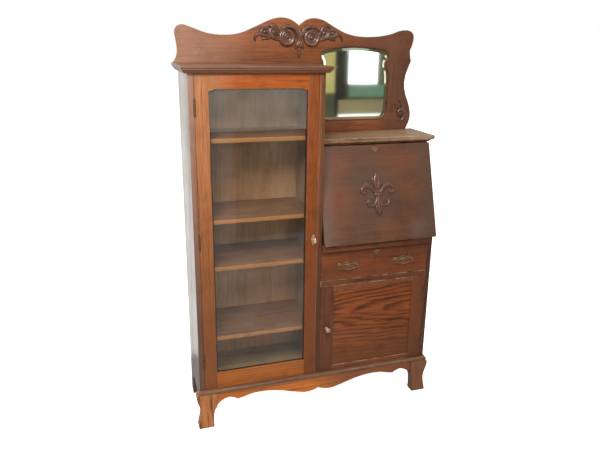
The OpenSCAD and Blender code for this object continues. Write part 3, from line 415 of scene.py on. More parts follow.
def placed(name, data):
    """A new object in the scene. A bmesh is turned into a mesh first, and freed."""
    if isinstance(data, bmesh.types.BMesh):
        bm, data = data, bpy.data.meshes.new(name)
        bm.to_mesh(data)
        bm.free()
    item = bpy.data.objects.new(name, data)
    bpy.context.scene.collection.objects.link(item)
    return item


def settle(bm, name, material, body, stands_for=(), crease=25.0):
    """Turns a bmesh into a piece that rides on a body and stands for some CAD nodes."""
    bmesh.ops.recalc_face_normals(bm, faces=bm.faces)
    for face in bm.faces:
        face.smooth = True
    for edge in bm.edges:
        edge.smooth = len(edge.link_faces) == 2 and edge.calc_face_angle() < math.radians(crease)
    piece = placed(name, bm)
    piece.data.materials.append(material)
    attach(piece, body)
    if stands_for:
        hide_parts(*stands_for)


def softened(node, material, width=EDGE, segments=2):
    """A CAD board again, with its outer edges rounded and marked for wear, which on a few boards also carries a
    painted highlight.
    """
    bm = bmesh.new()
    bm.from_mesh(NODES[node].data)
    bmesh.ops.remove_doubles(bm, verts=bm.verts, dist=1e-6)
    bmesh.ops.dissolve_limit(bm, angle_limit=math.radians(0.5), use_dissolve_boundaries=False,
                             verts=bm.verts, edges=bm.edges)
    sharp = [e for e in bm.edges if len(e.link_faces) == 2 and e.is_convex
             and e.calc_face_angle() > math.radians(30.0)]
    bmesh.ops.triangulate(bm, faces=[f for f in bm.faces if len(f.verts) > 4], ngon_method="EAR_CLIP")
    worn = bm.loops.layers.float.new("worn")
    made = bmesh.ops.bevel(bm, geom=sharp, offset=width, offset_type="OFFSET", segments=segments,
                           profile=0.6, affect="EDGES", clamp_overlap=True)
    for face in made["faces"]:
        for loop in face.loops:
            loop[worn] = 1.0
    settle(bm, node + "_made", material, BODY_OF[node], (node,))


def smooth_line(points, steps, closed=False):
    """A Catmull-Rom curve through points of any dimension."""
    pts = [np.array(p, float) for p in points]
    n = len(pts)
    out = []
    for i in range(n if closed else n - 1):
        a, b, c, d = (pts[j % n] if closed else pts[min(max(j, 0), n - 1)]
                      for j in (i - 1, i, i + 1, i + 2))
        for k in range(steps):
            t = k / steps
            out.append(0.5 * (2 * b + (c - a) * t + (2 * a - 5 * b + 4 * c - d) * t * t
                              + (3 * b - a - 3 * c + d) * t ** 3))
    if not closed:
        out.append(pts[-1])
    return out


def loft(bm, rings, close_ends=True):
    """Joins rings of equal length into a skin, with a face on each end."""
    worn = bm.loops.layers.float.get("worn") or bm.loops.layers.float.new("worn")
    verts = [[bm.verts.new(p) for p in ring] for ring in rings]
    n = len(verts[0])
    for low, high in zip(verts, verts[1:]):
        for i in range(n):
            face = bm.faces.new((low[i], low[(i + 1) % n], high[(i + 1) % n], high[i]))
            for loop in face.loops:
                loop[worn] = 0.12
    if close_ends:
        bm.faces.new(verts[0][::-1])
        bm.faces.new(verts[-1])


# ---------------------------------------------------------------- boards

EDGE_WIDTH = {"shelves": 2.5 * MM, "front_feet": 3.0 * MM, "fall_board": 1.6 * MM,
              "crest_top_rail": 1.6 * MM, "crest_stiles": 0.6 * MM, "crest_bottom_rail": 0.6 * MM,
              "bookcase_back": 0.8 * MM, "desk_back": 0.8 * MM, "door_glass_beads": 0.8 * MM}
SHAPED = ("cornice_lower_board", "cornice_top_board", "desk_top_moulding", "base_ledge")
for node, look in LOOKS.items():
    if node not in SHAPED:
        softened(node, look, EDGE_WIDTH.get(node, EDGE))


# ---------------------------------------------------------------- mouldings

CREST_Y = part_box("crest_top_rail")[0].y
RIGHT_OF_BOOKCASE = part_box("partition")[1].x


def lofted_board(node, profile, outline):
    """A board whose edge follows a profile of (outward, height) points round an outline."""
    bm = bmesh.new()
    loft(bm, [[(x, y, z) for x, y in outline(out)] for out, z in profile])
    settle(bm, node + "_made", LOOKS[node], BODY_OF[node], (node,))


def cornice_outline(node):
    """The cornice's outline, drawn in from its CAD box by a given amount on the moulded sides."""
    low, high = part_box(node)

    def outline(inset):
        x0, x1, y0, y1 = low.x + inset, high.x - inset, low.y + inset, high.y
        return [(x0, y0), (x1, y0), (x1, CREST_Y), (RIGHT_OF_BOOKCASE, CREST_Y), (RIGHT_OF_BOOKCASE, y1),
                (x0, y1)]
    return outline


low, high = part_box("cornice_lower_board")
rise, cove = high.z - low.z, 7 * MM
turns = [math.radians(9 * i) for i in range(11)]
hollow = [(cove * math.cos(t), low.z + 1.5 * MM + (rise - 3 * MM) * (1 - math.cos(t))) for t in turns]
lofted_board("cornice_lower_board", [(cove + 1 * MM, low.z)] + hollow + [(0.0, high.z)],
             cornice_outline("cornice_lower_board"))
low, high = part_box("cornice_top_board")
mid, half = (low.z + high.z) / 2 + 1.5 * MM, (high.z - low.z) / 2 - 1.5 * MM
turns = [math.radians(a) for a in range(-75, 76, 15)]
nose = [(4 * MM * (1 - math.cos(t)), mid + half * math.sin(t)) for t in turns]
lofted_board("cornice_top_board", [(6 * MM, low.z), (2.2 * MM, low.z)] + nose + [(4.6 * MM, high.z)],
             cornice_outline("cornice_top_board"))

low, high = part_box("base_ledge")


def ledge_outline(inset):
    x0, x1, y0 = low.x + inset, high.x - inset, low.y + inset
    return [(x0, y0), (x1, y0), (x1, high.y), (x0, high.y)]


bull = 0.34 * (high.z - low.z)
turns = [math.radians(a) for a in range(0, 91, 15)]
lofted_board("base_ledge", [(3.2 * MM, low.z), (1.2 * MM, low.z + 2.2 * MM), (0.0, low.z + 5 * MM)]
             + [(bull * (1 - math.cos(t)), high.z - bull * (1 - math.sin(t))) for t in turns],
             ledge_outline)

# the cove under the desk top runs along the front and round the right end
low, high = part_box("desk_top_moulding")
inner_x, inner_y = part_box("right_side_panel")[1].x, low.y + 17 * MM


def desk_cove_outline(inset):
    x1, y0 = high.x - inset, low.y + inset
    return [(low.x, y0), (x1, y0), (x1, high.y), (inner_x, high.y), (inner_x, inner_y), (low.x, inner_y)]


deep, rise = 7 * MM, high.z - low.z - 2 * MM
turns = [math.radians(a) for a in range(0, 91, 10)]
hollow = [(deep * math.cos(t), low.z + 1 * MM + rise * (1 - math.cos(t))) for t in turns]
lofted_board("desk_top_moulding", [(deep, low.z)] + hollow + [(0.0, high.z)], desk_cove_outline)


# ---------------------------------------------------------------- carvings

class Relief:
    """A carved relief: the highest of many round strokes over a grid of points (u, v), in metres.
    fullness widens every stroke."""

    def __init__(self, u0, v0, u1, v1, step=1.25 * MM):
        self.step, self.u0, self.v0 = step, u0, v0
        self.nu, self.nv = int((u1 - u0) / step) + 1, int((v1 - v0) / step) + 1
        self.u = u0 + step * np.arange(self.nu)[None, :]
        self.v = v0 + step * np.arange(self.nv)[:, None]
        self.h = np.zeros((self.nv, self.nu))
        self.cut = np.zeros((self.nv, self.nu))
        self.fullness = 1.35

    def window(self, u, v, r):
        """The rows and columns of the grid within r of a point."""
        i0, i1 = int((u - r - self.u0) / self.step), int((u + r - self.u0) / self.step) + 2
        j0, j1 = int((v - r - self.v0) / self.step), int((v + r - self.v0) / self.step) + 2
        return slice(max(j0, 0), max(j1, 0)), slice(max(i0, 0), max(i1, 0))

    def stroke(self, points, widths, heights, groove=0.0):
        """A tapered round ridge along a curve; widths are half-widths. A groove runs down its middle."""
        n = len(points)
        t = np.linspace(0, 1, n)
        w = self.fullness * np.interp(t, np.linspace(0, 1, len(widths)), widths)
        h = np.interp(t, np.linspace(0, 1, len(heights)), heights)
        stations = [(*p, a * MM, b * MM) for p, a, b in zip(points, w, h)]
        for u, v, r, top in smooth_line(stations, 14):
            r = max(r, 0.4 * MM)
            rows, cols = self.window(u, v, r)
            d2 = ((self.u[:, cols] - u) ** 2 + (self.v[rows] - v) ** 2) / (r * r)
            bump = top * np.sqrt(np.clip(1 - d2, 0, 1))
            self.h[rows, cols] = np.maximum(self.h[rows, cols], bump)
        if groove:
            self.groove(points, groove)

    def groove(self, points, depth, r=1.6 * MM):
        """A soft cut along a curve, depth in millimetres."""
        for u, v in smooth_line(points, 16):
            rows, cols = self.window(u, v, 3 * r)
            d2 = ((self.u[:, cols] - u) ** 2 + (self.v[rows] - v) ** 2) / (r * r)
            self.cut[rows, cols] = np.maximum(self.cut[rows, cols], depth * MM * np.exp(-d2))

    def dome(self, u, v, r, top, dish=0.0):
        """A round button, with a dish in its middle."""
        rows, cols = self.window(u, v, r)
        d2 = ((self.u[:, cols] - u) ** 2 + (self.v[rows] - v) ** 2) / (r * r)
        bump = np.where(d2 < 1, top * np.sqrt(np.clip(1 - d2, 0, 1)) - dish * np.exp(-d2 * 9), 0)
        self.h[rows, cols] = np.maximum(self.h[rows, cols], bump)

    def ring(self, u, v, r, half, top, start=0.0, sweep=360.0, shrink=0.0):
        """An arc or spiral of ridge about a centre; shrink is how much its radius loses over the sweep."""
        n = max(8, int(abs(sweep) / 12))
        pts = []
        for i in range(n + 1):
            a = math.radians(start + sweep * i / n)
            rr = r - shrink * i / n
            pts.append((u + rr * math.cos(a), v + rr * math.sin(a)))
        self.stroke(pts, [half / MM] * 2 if not isinstance(half, (list, tuple)) else half,
                    [top / MM] * 2 if not isinstance(top, (list, tuple)) else top)

    def sheet(self, corners, profile):
        """A plate with this outline; profile gives (depth in from the edge, height) pairs."""
        u, v = self.u + 0 * self.v, self.v + 0 * self.u
        inside, near = np.zeros(u.shape, bool), np.full(u.shape, 1.0)
        for (u0, v0), (u1, v1) in zip(corners, corners[1:] + corners[:1]):
            du, dv = u1 - u0, v1 - v0
            t = np.clip(((u - u0) * du + (v - v0) * dv) / (du * du + dv * dv), 0, 1)
            near = np.minimum(near, np.hypot(u - u0 - t * du, v - v0 - t * dv))
            if v0 != v1:
                inside ^= ((v0 > v) != (v1 > v)) & (u < u0 + (v - v0) * du / dv)
        depths, heights = zip(*profile)
        self.h = np.where(inside, np.interp(near, depths, heights), self.h)

    def build(self, name, body, stands_for, place, sink=0.8 * MM, slot=None, material=None, full=12 * MM):
        """The relief as a closed mesh; place(u, v, h) gives a point in the row frame."""
        h = np.maximum(self.h - self.cut * (self.h > 0.5 * MM), 0)
        soft = h.copy()
        soft[1:-1, 1:-1] = (4 * h[1:-1, 1:-1] + h[:-2, 1:-1] + h[2:, 1:-1] + h[1:-1, :-2] + h[1:-1, 2:]) / 8
        inside = self.h > 0
        inside[0, :] = inside[-1, :] = inside[:, 0] = inside[:, -1] = False
        cells = inside[:-1, :-1] | inside[1:, :-1] | inside[:-1, 1:] | inside[1:, 1:]
        bm = bmesh.new()
        worn = bm.loops.layers.float.new("worn")
        tops, floors = {}, {}

        def corner(store, j, i, height):
            if (j, i) not in store:
                store[j, i] = bm.verts.new(place(self.u[0, i], self.v[j, 0], height))
            return store[j, i]

        for j, i in zip(*np.nonzero(cells)):
            quad = ((j, i), (j, i + 1), (j + 1, i + 1), (j + 1, i))
            face = bm.faces.new([corner(tops, a, b, soft[a, b] - sink) for a, b in quad])
            for loop, (a, b) in zip(face.loops, quad):
                # the corner's share of the full height is stored; carved oak paints shade into the low parts from
                # it and rubs the high ones, and the brass plates take tarnish in their hollows from it
                loop[worn] = min(1.0, soft[a, b] / full)
            bm.faces.new([corner(floors, a, b, -sink - 0.6 * MM) for a, b in quad][::-1])
        for j, i in zip(*np.nonzero(cells)):
            for (a, b), near in ((((j, i), (j, i + 1)), (j - 1, i)),
                                 (((j, i + 1), (j + 1, i + 1)), (j, i + 1)),
                                 (((j + 1, i + 1), (j + 1, i)), (j + 1, i)),
                                 (((j + 1, i), (j, i)), (j, i - 1))):
                jj, ii = near
                if 0 <= jj < cells.shape[0] and 0 <= ii < cells.shape[1] and cells[jj, ii]:
                    continue
                bm.faces.new((tops[a], floors[a], floors[b], tops[b]))
        settle(bm, name, material or CARVED, body, stands_for, crease=70.0)


def centred(u0, v0, side=1):
    """Gives places in a relief from millimetres outwards and up from a centre."""
    return lambda u, v: (u0 + side * u * MM, v0 + v * MM)


def carve(relief, place, strokes):
    """Strokes given as (points, half-widths, heights, groove), in millimetres from a centre."""
    for points, widths, heights, groove in strokes:
        relief.stroke([place(*p) for p in points], widths, heights, groove)


low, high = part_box("crest_carvings")
roses_u = low.x + 205 * MM
roses_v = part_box("crest_top_rail")[1].z - 83 * MM
crest = Relief(roses_u - 215 * MM, roses_v - 96 * MM, roses_u + 215 * MM, roses_v + 66 * MM)
CREST_STROKES = (
    # the leaf that curls over the rose
    ([(6, -22), (8, 10), (20, 34), (44, 46), (72, 42), (94, 26)],
     [3, 5, 6, 6, 5, 1.5], [6, 9, 11, 11, 9, 4], 2.2),
    # leaves running outwards along the crest's edge, each curling round a bud
    ([(92, -8), (106, -6), (124, 2), (136, 16), (134, 32), (120, 38), (110, 28)],
     [4, 6.5, 7.5, 7.5, 6, 4.5, 3], [6, 9, 10, 10, 9, 8, 6], 2.2),
    ([(96, 14), (102, 30), (114, 46), (132, 50), (144, 42)], [5, 6.5, 6.5, 5, 2], [7, 9, 9, 7, 3], 2.0),
    ([(138, 4), (154, 4), (170, 10), (176, 22), (168, 34), (154, 34)],
     [4, 6, 6.5, 6, 5, 3], [6, 8, 9, 9, 8, 5], 2.0),
    ([(172, 14), (186, 14), (197, 6), (203, -6), (200, -18)], [4.5, 5, 5, 4, 2], [6, 7, 7, 5, 3], 1.6),
    ([(132, 0), (148, -6), (162, -6), (170, -14)], [4, 4.5, 4, 1.5], [6, 6, 5, 2], 0.0))
for side in (-1, 1):
    at = centred(roses_u, roses_v, side)
    # the rose: a rolled rim round a saucer and a button
    crest.dome(*at(57, 0), 41 * MM, 4.5 * MM)
    crest.ring(*at(57, 0), 33 * MM, [3.5, 6, 7.5, 7.5, 6], [6, 10, 12, 11, 9], start=90, sweep=-side * 345,
               shrink=5 * MM)
    crest.ring(*at(57, 0), 23 * MM, [5, 4.5, 4, 3], [8.5, 8.5, 8, 7], start=115, sweep=-side * 400,
               shrink=12 * MM)
    crest.dome(*at(56, 0), 8.5 * MM, 9.5 * MM, dish=1.5 * MM)
    # the grounds and the buds of the two outer curls
    crest.dome(*at(118, 22), 24 * MM, 4 * MM)
    crest.dome(*at(117, 20), 8.5 * MM, 9.5 * MM, dish=1.5 * MM)
    crest.dome(*at(156, 20), 20 * MM, 3.5 * MM)
    crest.dome(*at(157, 20), 6.5 * MM, 8.5 * MM)
    carve(crest, at, CREST_STROKES)
# the drop between the roses: a stem, a husk of three leaves, a bead and a tip
at = centred(roses_u, roses_v)
carve(crest, at, [([(0, 34), (0, 8), (0, -20)], [2, 6, 4], [4, 8, 8], 1.2),
                  ([(0, -14), (-10, -30), (-18, -48)], [4, 7, 2], [7, 9, 4], 1.5),
                  ([(0, -14), (0, -30), (0, -64)], [4, 7, 2], [7, 9, 4], 1.5),
                  ([(0, -14), (10, -30), (18, -48)], [4, 7, 2], [7, 9, 4], 1.5),
                  ([(0, -56), (0, -72), (0, -88)], [4, 5.5, 1.5], [7, 7.5, 3], 1.0)])
crest.dome(*at(0, -52), 8 * MM, 9 * MM)
crest.build("crest_roses", "cabinet", (), lambda u, v, h: (u, CREST_Y - h, v), slot="oak_carving")

# the small spray beside the mirror's lower corner
corner = Relief(high.x - 80 * MM, low.z - 8 * MM, high.x + 8 * MM, low.z + 112 * MM)
at = centred(high.x - 34 * MM, low.z + 52 * MM)
corner.dome(*at(8, -14), 22 * MM, 3.5 * MM)
corner.dome(*at(8, -14), 6.5 * MM, 9.5 * MM)
carve(corner, at, [
    ([(-4, -46), (12, -46), (24, -34), (28, -14), (18, 2), (2, 4), (-8, -6), (-6, -20), (6, -24)],
     [2, 4.5, 6, 7, 7, 6, 5, 4, 3], [4, 7, 9, 10, 10, 9, 8, 7, 5], 2.0),
    ([(20, 0), (18, 18), (8, 36), (-6, 48)], [6, 6.5, 5, 2], [7, 9, 7, 3], 2.0),
    ([(8, 4), (-4, 16), (-20, 20), (-28, 32)], [4.5, 5.5, 4.5, 2], [6, 7, 6, 3], 1.6)])
corner.build("crest_spray", "cabinet", ("crest_carvings",), lambda u, v, h: (u, CREST_Y - h, v),
             slot="oak_carving")

# the fall's ornament lies in its leaning face: u across, v up the slope
fall_joint = next(j for j in frame["joints"] if j["name"] == "fall_hinge")
hinge = Vector(fall_joint["pos_m"])
lean = math.radians(fall_joint["range_deg"][1] - 90)
up = Vector((0, math.sin(lean), math.cos(lean)))
out = Vector((0, -math.cos(lean), math.sin(lean)))
fall_face = max((v.co - hinge).dot(out) for v in NODES["fall_board"].data.vertices)
low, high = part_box("fall_carving")
mid_u = (low.x + high.x) / 2
spots = [(v.co - hinge).dot(up) for v in NODES["fall_carving"].data.vertices]
mid_v = (min(spots) + max(spots)) / 2
lily = Relief(mid_u - 96 * MM, mid_v - 112 * MM, mid_u + 96 * MM, mid_v + 112 * MM)
lily.fullness = 1.75
LILY_STROKES = (
    # tall upper leaf in three blades
    ([(2, 8), (7, 34), (9, 62), (3, 88), (0, 100)], [4, 5, 5.5, 4, 1], [6, 7, 7, 5, 2], 1.5),
    ([(6, 26), (16, 48), (22, 68), (21, 78)], [3.5, 5, 4, 1.5], [5, 6, 5, 2], 1.3),
    # side scroll that rolls over and back
    ([(4, -4), (18, 14), (38, 34), (60, 38), (76, 26), (76, 10), (62, 4), (56, 14)],
     [4, 5, 5.5, 5.5, 5, 4.5, 4, 3], [6, 7, 7, 7, 7, 7, 6, 5], 1.5),
    ([(44, 30), (50, 46), (62, 54)], [4, 4, 1.5], [5, 5, 2], 0.0),
    # lower leaves curling outwards
    ([(4, -10), (10, -34), (24, -50), (42, -50), (52, -38), (48, -26), (38, -28)],
     [4, 5, 5.5, 5, 4.5, 3.5, 2.5], [6, 7, 7, 7, 7, 6, 5], 1.5),
    ([(3, -30), (9, -58), (12, -78), (6, -92)], [3, 4.5, 3.5, 1.5], [5, 6.5, 5, 2], 1.3))
for side in (-1, 1):
    at = centred(mid_u, mid_v, side)
    lily.dome(*at(62, 14), 5.5 * MM, 7.5 * MM)
    lily.dome(*at(41, -34), 4.5 * MM, 7 * MM)
    carve(lily, at, LILY_STROKES)
carve(lily, centred(mid_u, mid_v), [
    ([(0, 30), (0, 0), (0, -40), (0, -80), (0, -102)], [3, 7, 4, 5, 1.5], [5, 7.5, 7, 6, 2], 0.0),
    ([(-14, -2), (0, -5), (14, -2)], [4, 5, 4], [7, 8, 7], 0.0)])
lily.build("fall_lily", "fall", ("fall_carving",),
           lambda u, v, h: hinge + Vector((u - hinge.x, 0, 0)) + up * v + out * (fall_face + h),
           slot="oak_carving")


# ---------------------------------------------------------------- mirror

def outer_loop(node, level):
    """The outline of a CAD plate where its vertices lie at a given depth, in order, outermost first."""
    bm = bmesh.new()
    bm.from_mesh(NODES[node].data)
    bmesh.ops.remove_doubles(bm, verts=bm.verts, dist=1e-6)
    flat = [f for f in bm.faces if all(abs(v.co.y - level) < 1e-5 for v in f.verts)]
    rim = {}
    for f in flat:
        for loop in f.loops:
            others = [g for g in loop.edge.link_faces if g is not f]
            if others and abs(others[0].normal.y) < 0.5:
                rim[loop.vert.index] = (loop.link_loop_next.vert.index, loop.vert.co.copy())
    loops = []
    while rim:
        start = next(iter(rim))
        at, ring = start, []
        while at in rim:
            nxt, co = rim.pop(at)
            ring.append((co.x, co.z))
            at = nxt
        loops.append(ring)
    bm.free()
    return max(loops, key=lambda r: max(p[0] for p in r) - min(p[0] for p in r))


def inset(ring, amount):
    """A closed outline moved inwards along its corner normals."""
    n = len(ring)
    area = sum(ring[i][0] * ring[(i + 1) % n][1] - ring[(i + 1) % n][0] * ring[i][1] for i in range(n))
    sign = 1 if area > 0 else -1
    moved = []
    for i in range(n):
        a, b, c = (np.array(ring[(i + k) % n]) for k in (-1, 0, 1))
        d1, d2 = (b - a) / np.linalg.norm(b - a), (c - b) / np.linalg.norm(c - b)
        normal = np.array([-(d1 + d2)[1], (d1 + d2)[0]]) * sign
        normal /= np.linalg.norm(normal)
        scale = 1 / max(0.6, float(np.dot(normal, np.array([-d1[1], d1[0]]) * sign)))
        moved.append(tuple(b + normal * amount * scale))
    return moved


low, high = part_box("mirror_glass")
plate = outer_loop("mirror_glass", low.y)
bm = bmesh.new()
bevel_w, bevel_d = 17 * MM, 1.6 * MM
rings = [(0.0, high.y), (0.0, low.y + bevel_d), (bevel_w, low.y), (bevel_w + 0.6 * MM, low.y)]
loft(bm, [[(x, y, z) for x, z in inset(plate, amount)] for amount, y in rings])
settle(bm, "mirror_plate", SILVER, "cabinet", ("mirror_glass",), crease=3.0)

low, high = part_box("mirror_bead")
bm = bmesh.new()
bead_w, bead_t = 5.5 * MM, high.y - low.y
section = [(bead_w * (0.5 - 0.5 * math.cos(math.radians(a))), high.y - bead_t * math.sin(math.radians(a)))
           for a in range(0, 181, 20)]
rings = [[(x, y, z) for x, z in inset(plate, amount)] for amount, y in section]
loft(bm, rings, close_ends=False)
verts = list(bm.verts)
n = len(plate)
for i in range(n):
    bm.faces.new((verts[i], verts[len(verts) - n + i], verts[len(verts) - n + (i + 1) % n],
                  verts[(i + 1) % n]))
settle(bm, "mirror_rim_bead", BEADING, "cabinet", ("mirror_bead",), crease=50.0)


# ---------------------------------------------------------------- hardware

METAL_NODES = {"shelf_pins": STEEL, "hinge_pins": DULL_IRON, "door_lock_bolt": OLD_BRASS,
               "door_key": KEY_BRASS, "cupboard_knob": PALE_BRASS, "door_glass": GLASS}
for node, material in METAL_NODES.items():
    mesh = NODES[node].data
    mesh.materials.clear()
    mesh.materials.append(material)

SHEET_METAL = {"hinge_leaves_fixed": DULL_IRON, "door_hinge_leaves": DULL_IRON,
               "fall_hinge_leaves": DULL_IRON, "cupboard_hinge_leaves": DULL_IRON,
               "door_lock_case": OLD_BRASS, "door_escutcheon": PALE_BRASS,
               "fall_escutcheon": OLD_BRASS, "drawer_escutcheon": OLD_BRASS,
               "stay_cranks": OLD_BRASS, "stay_struts": OLD_BRASS}
for node, material in SHEET_METAL.items():
    softened(node, material, 0.3 * MM, segments=1)


def tube(name, path, material, body, stands_for, turns=14):
    """A round rod along (x, y, z, radius) stations, closed with a flat face at each end."""
    line = [np.array(p) for p in smooth_line(path, 6)]
    rings = []
    for i, p in enumerate(line):
        ahead = Vector(line[min(i + 1, len(line) - 1)][:3] - line[max(i - 1, 0)][:3]).normalized()
        side = Vector((0, 1, 0))
        across = ahead.cross(side).normalized()
        centre, radius = Vector(p[:3]), float(p[3])
        rings.append([centre + radius * (math.cos(a) * side + math.sin(a) * across)
                      for a in (math.tau * k / turns for k in range(turns))])
    bm = bmesh.new()
    loft(bm, rings)
    settle(bm, name, material, body, stands_for, crease=50.0)


POST_X = 38  # each post's distance from the middle of its plate, in millimetres
# each bail: pins in the posts, a turn down, and arms that swell towards a knop
for node in ("bail_left", "bail_right"):
    low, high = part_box(node)
    mid_x, pin_y = (low.x + high.x) / 2, (low.y + high.y) / 2
    top_z, end_x = high.z - 3.0 * MM, high.x - 3.1 * MM - mid_x
    knop_z, turn_z = low.z + 4 * MM, high.z - 15 * MM
    half_path = [(end_x - 12 * MM, top_z, 1.8), (end_x - 4 * MM, top_z, 1.9), (end_x, top_z - 1 * MM, 2.5),
                 (end_x, top_z - 7 * MM, 2.5), (end_x - 1 * MM, turn_z, 2.6),
                 (end_x * 0.75, turn_z - 2 * MM, 2.2), (end_x * 0.40, turn_z - 4.5 * MM, 2.6),
                 (end_x * 0.17, knop_z + 1 * MM, 3.1), (end_x * 0.12, knop_z + 0.6 * MM, 2.4),
                 (end_x * 0.07, knop_z, 3.7)]
    path = [(mid_x + x, pin_y, z, r * MM) for x, z, r in half_path] + [(mid_x, pin_y, knop_z, 4.0 * MM)]
    path += [(2 * mid_x - x, y, z, r) for x, y, z, r in path[-2::-1]]
    tube(node + "_cast", path, OLD_BRASS, node, (node,))

# the plates behind them: a rolled rim, a dark sunk band and a raised middle, with two turned posts;
# all in millimetres
PLATE_OUTLINE = [(54, 2), (36, 12), (16, 10), (0, 16), (-16, 10), (-36, 12),
                 (-54, 2), (-36, -8), (-16, -9), (0, -17), (16, -9), (36, -8)]
PLATE_PROFILE = [(0.0, 1.0), (0.8, 1.9), (2.0, 1.9), (2.8, 0.8), (7.0, 0.8), (9.0, 1.6)]  # depth in, height
POST_PROFILE = [(6.0, 0.6), (6.0, 2.0), (4.8, 3.2), (3.0, 5.0), (2.9, 8.2), (4.0, 9.6),
                (4.4, 13.6), (4.0, 16.2), (2.4, 17.4)]  # radius, distance out
POST_SIDES = 18
front_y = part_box("drawer_front")[0].y
for k, node in enumerate(("bail_left", "bail_right")):
    low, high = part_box(node)
    mid_x, pin_z = (low.x + high.x) / 2, high.z - 3.0 * MM
    plate = Relief(mid_x - 57 * MM, pin_z - 22 * MM, mid_x + 57 * MM, pin_z + 17 * MM, step=0.8 * MM)
    plate.sheet([(mid_x + x * MM, pin_z + (z - 2) * MM) for x, z in PLATE_OUTLINE],
                [(d * MM, h * MM) for d, h in PLATE_PROFILE])
    plate.build(f"pull_plate_{k + 1}", "drawer", ("drawer_pull_plates",) if k == 0 else (),
                lambda u, v, h: (u, front_y - h, v), sink=0.0, slot="brass_dark", material=PLATE_BRASS,
                full=2.1 * MM)
    bm = bmesh.new()
    for side in (-1, 1):
        post_x = mid_x + side * POST_X * MM
        loft(bm, [[(post_x + r * MM * math.cos(a), front_y - d * MM, pin_z + r * MM * math.sin(a))
                   for a in (math.tau * j / POST_SIDES for j in range(POST_SIDES))]
                  for r, d in POST_PROFILE])
    settle(bm, f"pull_posts_{k + 1}", OLD_BRASS, "drawer", (), crease=35.0)


# ---------------------------------------------------------------- stage, lights and camera

def soft_light(name, at, aim, size, power, colour=(1.0, 1.0, 1.0), shows=False):
    data = bpy.data.lights.new(name, "AREA")
    data.shape = "RECTANGLE"
    data.size, data.size_y = size
    data.energy = power
    data.color = colour
    lamp = placed(name, data)
    lamp.location = at
    lamp.visible_camera, lamp.visible_glossy = False, shows
    lamp.rotation_euler = (Vector(aim) - Vector(at)).to_track_quat("-Z", "Y").to_euler()


ground = bmesh.new()
bmesh.ops.create_grid(ground, x_segments=8, y_segments=8, size=30.0)
floor = placed("floor", ground)
s = Shader("pale_floor")
tint = s.mix(s.noise(s.place(), 2.0, 2.0), (0.88, 0.88, 0.87), (0.92, 0.92, 0.91))
floor.data.materials.append(s.done(s.node("ShaderNodeBsdfPrincipled", {
    "Base Color": tint, "Roughness": 0.8, "Emission Color": (1.0, 1.0, 0.99, 1),
    "Emission Strength": 0.8}).outputs[0]))
floor.visible_diffuse = floor.visible_glossy = False

world = bpy.data.worlds.new("studio")
bpy.context.scene.world = world
world.use_nodes = True
sky = world.node_tree
backdrop, room = sky.nodes["Background"], sky.nodes.new("ShaderNodeBackground")
seen = sky.nodes.new("ShaderNodeMixShader")
backdrop.inputs["Strength"].default_value = 1.0
backdrop.inputs["Color"].default_value = (1.0, 1.0, 1.0, 1)
room.inputs["Strength"].default_value = 0.38
room.inputs["Color"].default_value = (1.0, 0.98, 0.95, 1)
sky.links.new(sky.nodes.new("ShaderNodeLightPath").outputs["Is Camera Ray"], seen.inputs[0])
sky.links.new(room.outputs[0], seen.inputs[1])
sky.links.new(backdrop.outputs[0], seen.inputs[2])
sky.links.new(seen.outputs[0], sky.nodes["World Output"].inputs["Surface"])

sun_data = bpy.data.lights.new("ceiling", "SUN")
sun_data.energy, sun_data.angle = 1.3, 1.6
placed("ceiling", sun_data)
soft_light("key", (-1.05, -2.0, 2.9), (-0.25, 0.0, 1.1), (1.3, 1.0), 98, (1.0, 0.97, 0.93), shows=True)
soft_light("side_fill", (-2.7, 0.7, 2.1), (-0.55, 0.0, 1.1), (1.4, 1.8), 42)
soft_light("front_fill", (-0.5, -3.4, 1.7), (-0.1, 0.0, 0.8), (1.8, 1.4), 38, (1.0, 0.96, 0.90))
soft_light("floor_bounce", (0.05, -0.75, 0.03), (0.0, -0.17, 0.25), (1.2, 0.35), 3.0, (1.0, 0.93, 0.82))

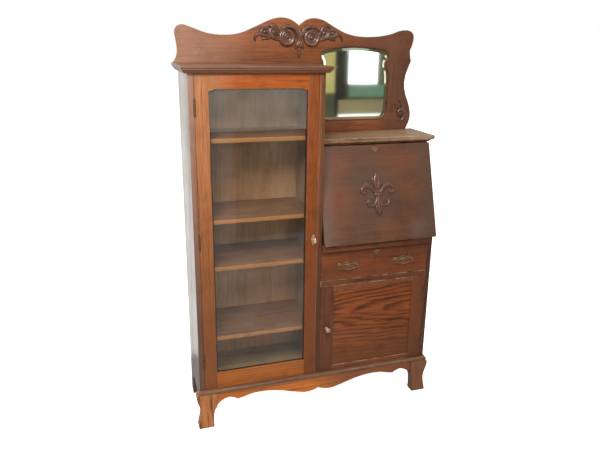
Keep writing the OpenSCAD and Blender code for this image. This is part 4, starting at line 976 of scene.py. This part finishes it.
# what the mirror and the polish face: plain studio cards, a soft box and a dark flag,
# which the camera doesn't see
CARDS = (  # centre x, y, z, width, height in metres, and the light each gives off
    ("wall_card", 2.1, -4.10, 1.2, 3.4, 3.4, (0.085, 0.090, 0.050)),
    ("pale_card", 1.45, -4.08, 1.62, 0.66, 1.10, (0.52, 0.45, 0.165)),
    ("dark_flag", 1.84, -4.06, 1.2, 0.14, 2.6, (0.030, 0.030, 0.024)),
    ("soft_box", 2.13, -4.04, 1.40, 0.38, 0.44, (3.0, 3.1, 3.0)),
    ("green_card", 2.30, -4.02, 1.10, 0.72, 0.15, (0.15, 0.25, 0.17)),
    ("low_card", 2.25, -4.00, 0.91, 0.90, 0.16, (0.27, 0.22, 0.115)),
    ("floor_strip", 2.12, -3.98, 0.75, 0.66, 0.14, (1.3, 1.3, 1.15)),
    ("side_glow", 3.52, -3.97, 1.38, 0.60, 0.42, (1.1, 1.05, 0.70)),
    ("top_glow", 2.02, -3.97, 2.45, 0.50, 0.34, (0.42, 0.50, 0.34)),
    ("high_card", 0.66, -3.96, 1.15, 1.3, 0.8, (1.3, 1.25, 1.05)),
    ("white_backdrop", -1.2, 0.9, 1.9, 2.6, 4.3, (1.25, 1.24, 1.17)))
for name, x, y, z, wide, tall, colour in CARDS:
    bm = bmesh.new()
    corners = ((-1, -1), (1, -1), (1, 1), (-1, 1))
    bm.faces.new([bm.verts.new((x + u * wide / 2, y, z + v * tall / 2)) for u, v in corners])
    card = placed(name, bm)
    s = Shader(name)
    uneven = s.mix(s.noise(s.place(), 4.0, 4.0), tuple(c * 0.5 for c in colour),
                   tuple(c * 1.5 for c in colour))
    glow = s.node("ShaderNodeEmission", {"Color": uneven, "Strength": 1.0})
    card.data.materials.append(s.done(glow.outputs[0]))
    s.mat.cycles.emission_sampling = "NONE"
    card.visible_camera = card.visible_diffuse = card.visible_shadow = False

bpy.context.scene.view_settings.view_transform = "Standard"

camera_data = bpy.data.cameras.new("camera")
camera = placed("camera", camera_data)
camera_data.sensor_width = 36.0
camera_data.lens = 34.8
camera_data.shift_y = -0.0173
camera_data.clip_end = 200
turn_right, tilt_up, roll = math.radians(17.694), math.radians(-16.713), math.radians(0.798)
camera.matrix_world = (Matrix.Translation((-0.8229, -2.4130, 1.6837)) @ Matrix.Rotation(-turn_right, 4, "Z")
                       @ Matrix.Rotation(math.radians(90) + tilt_up, 4, "X")
                       @ Matrix.Rotation(roll, 4, "Z"))
bpy.context.scene.camera = camera
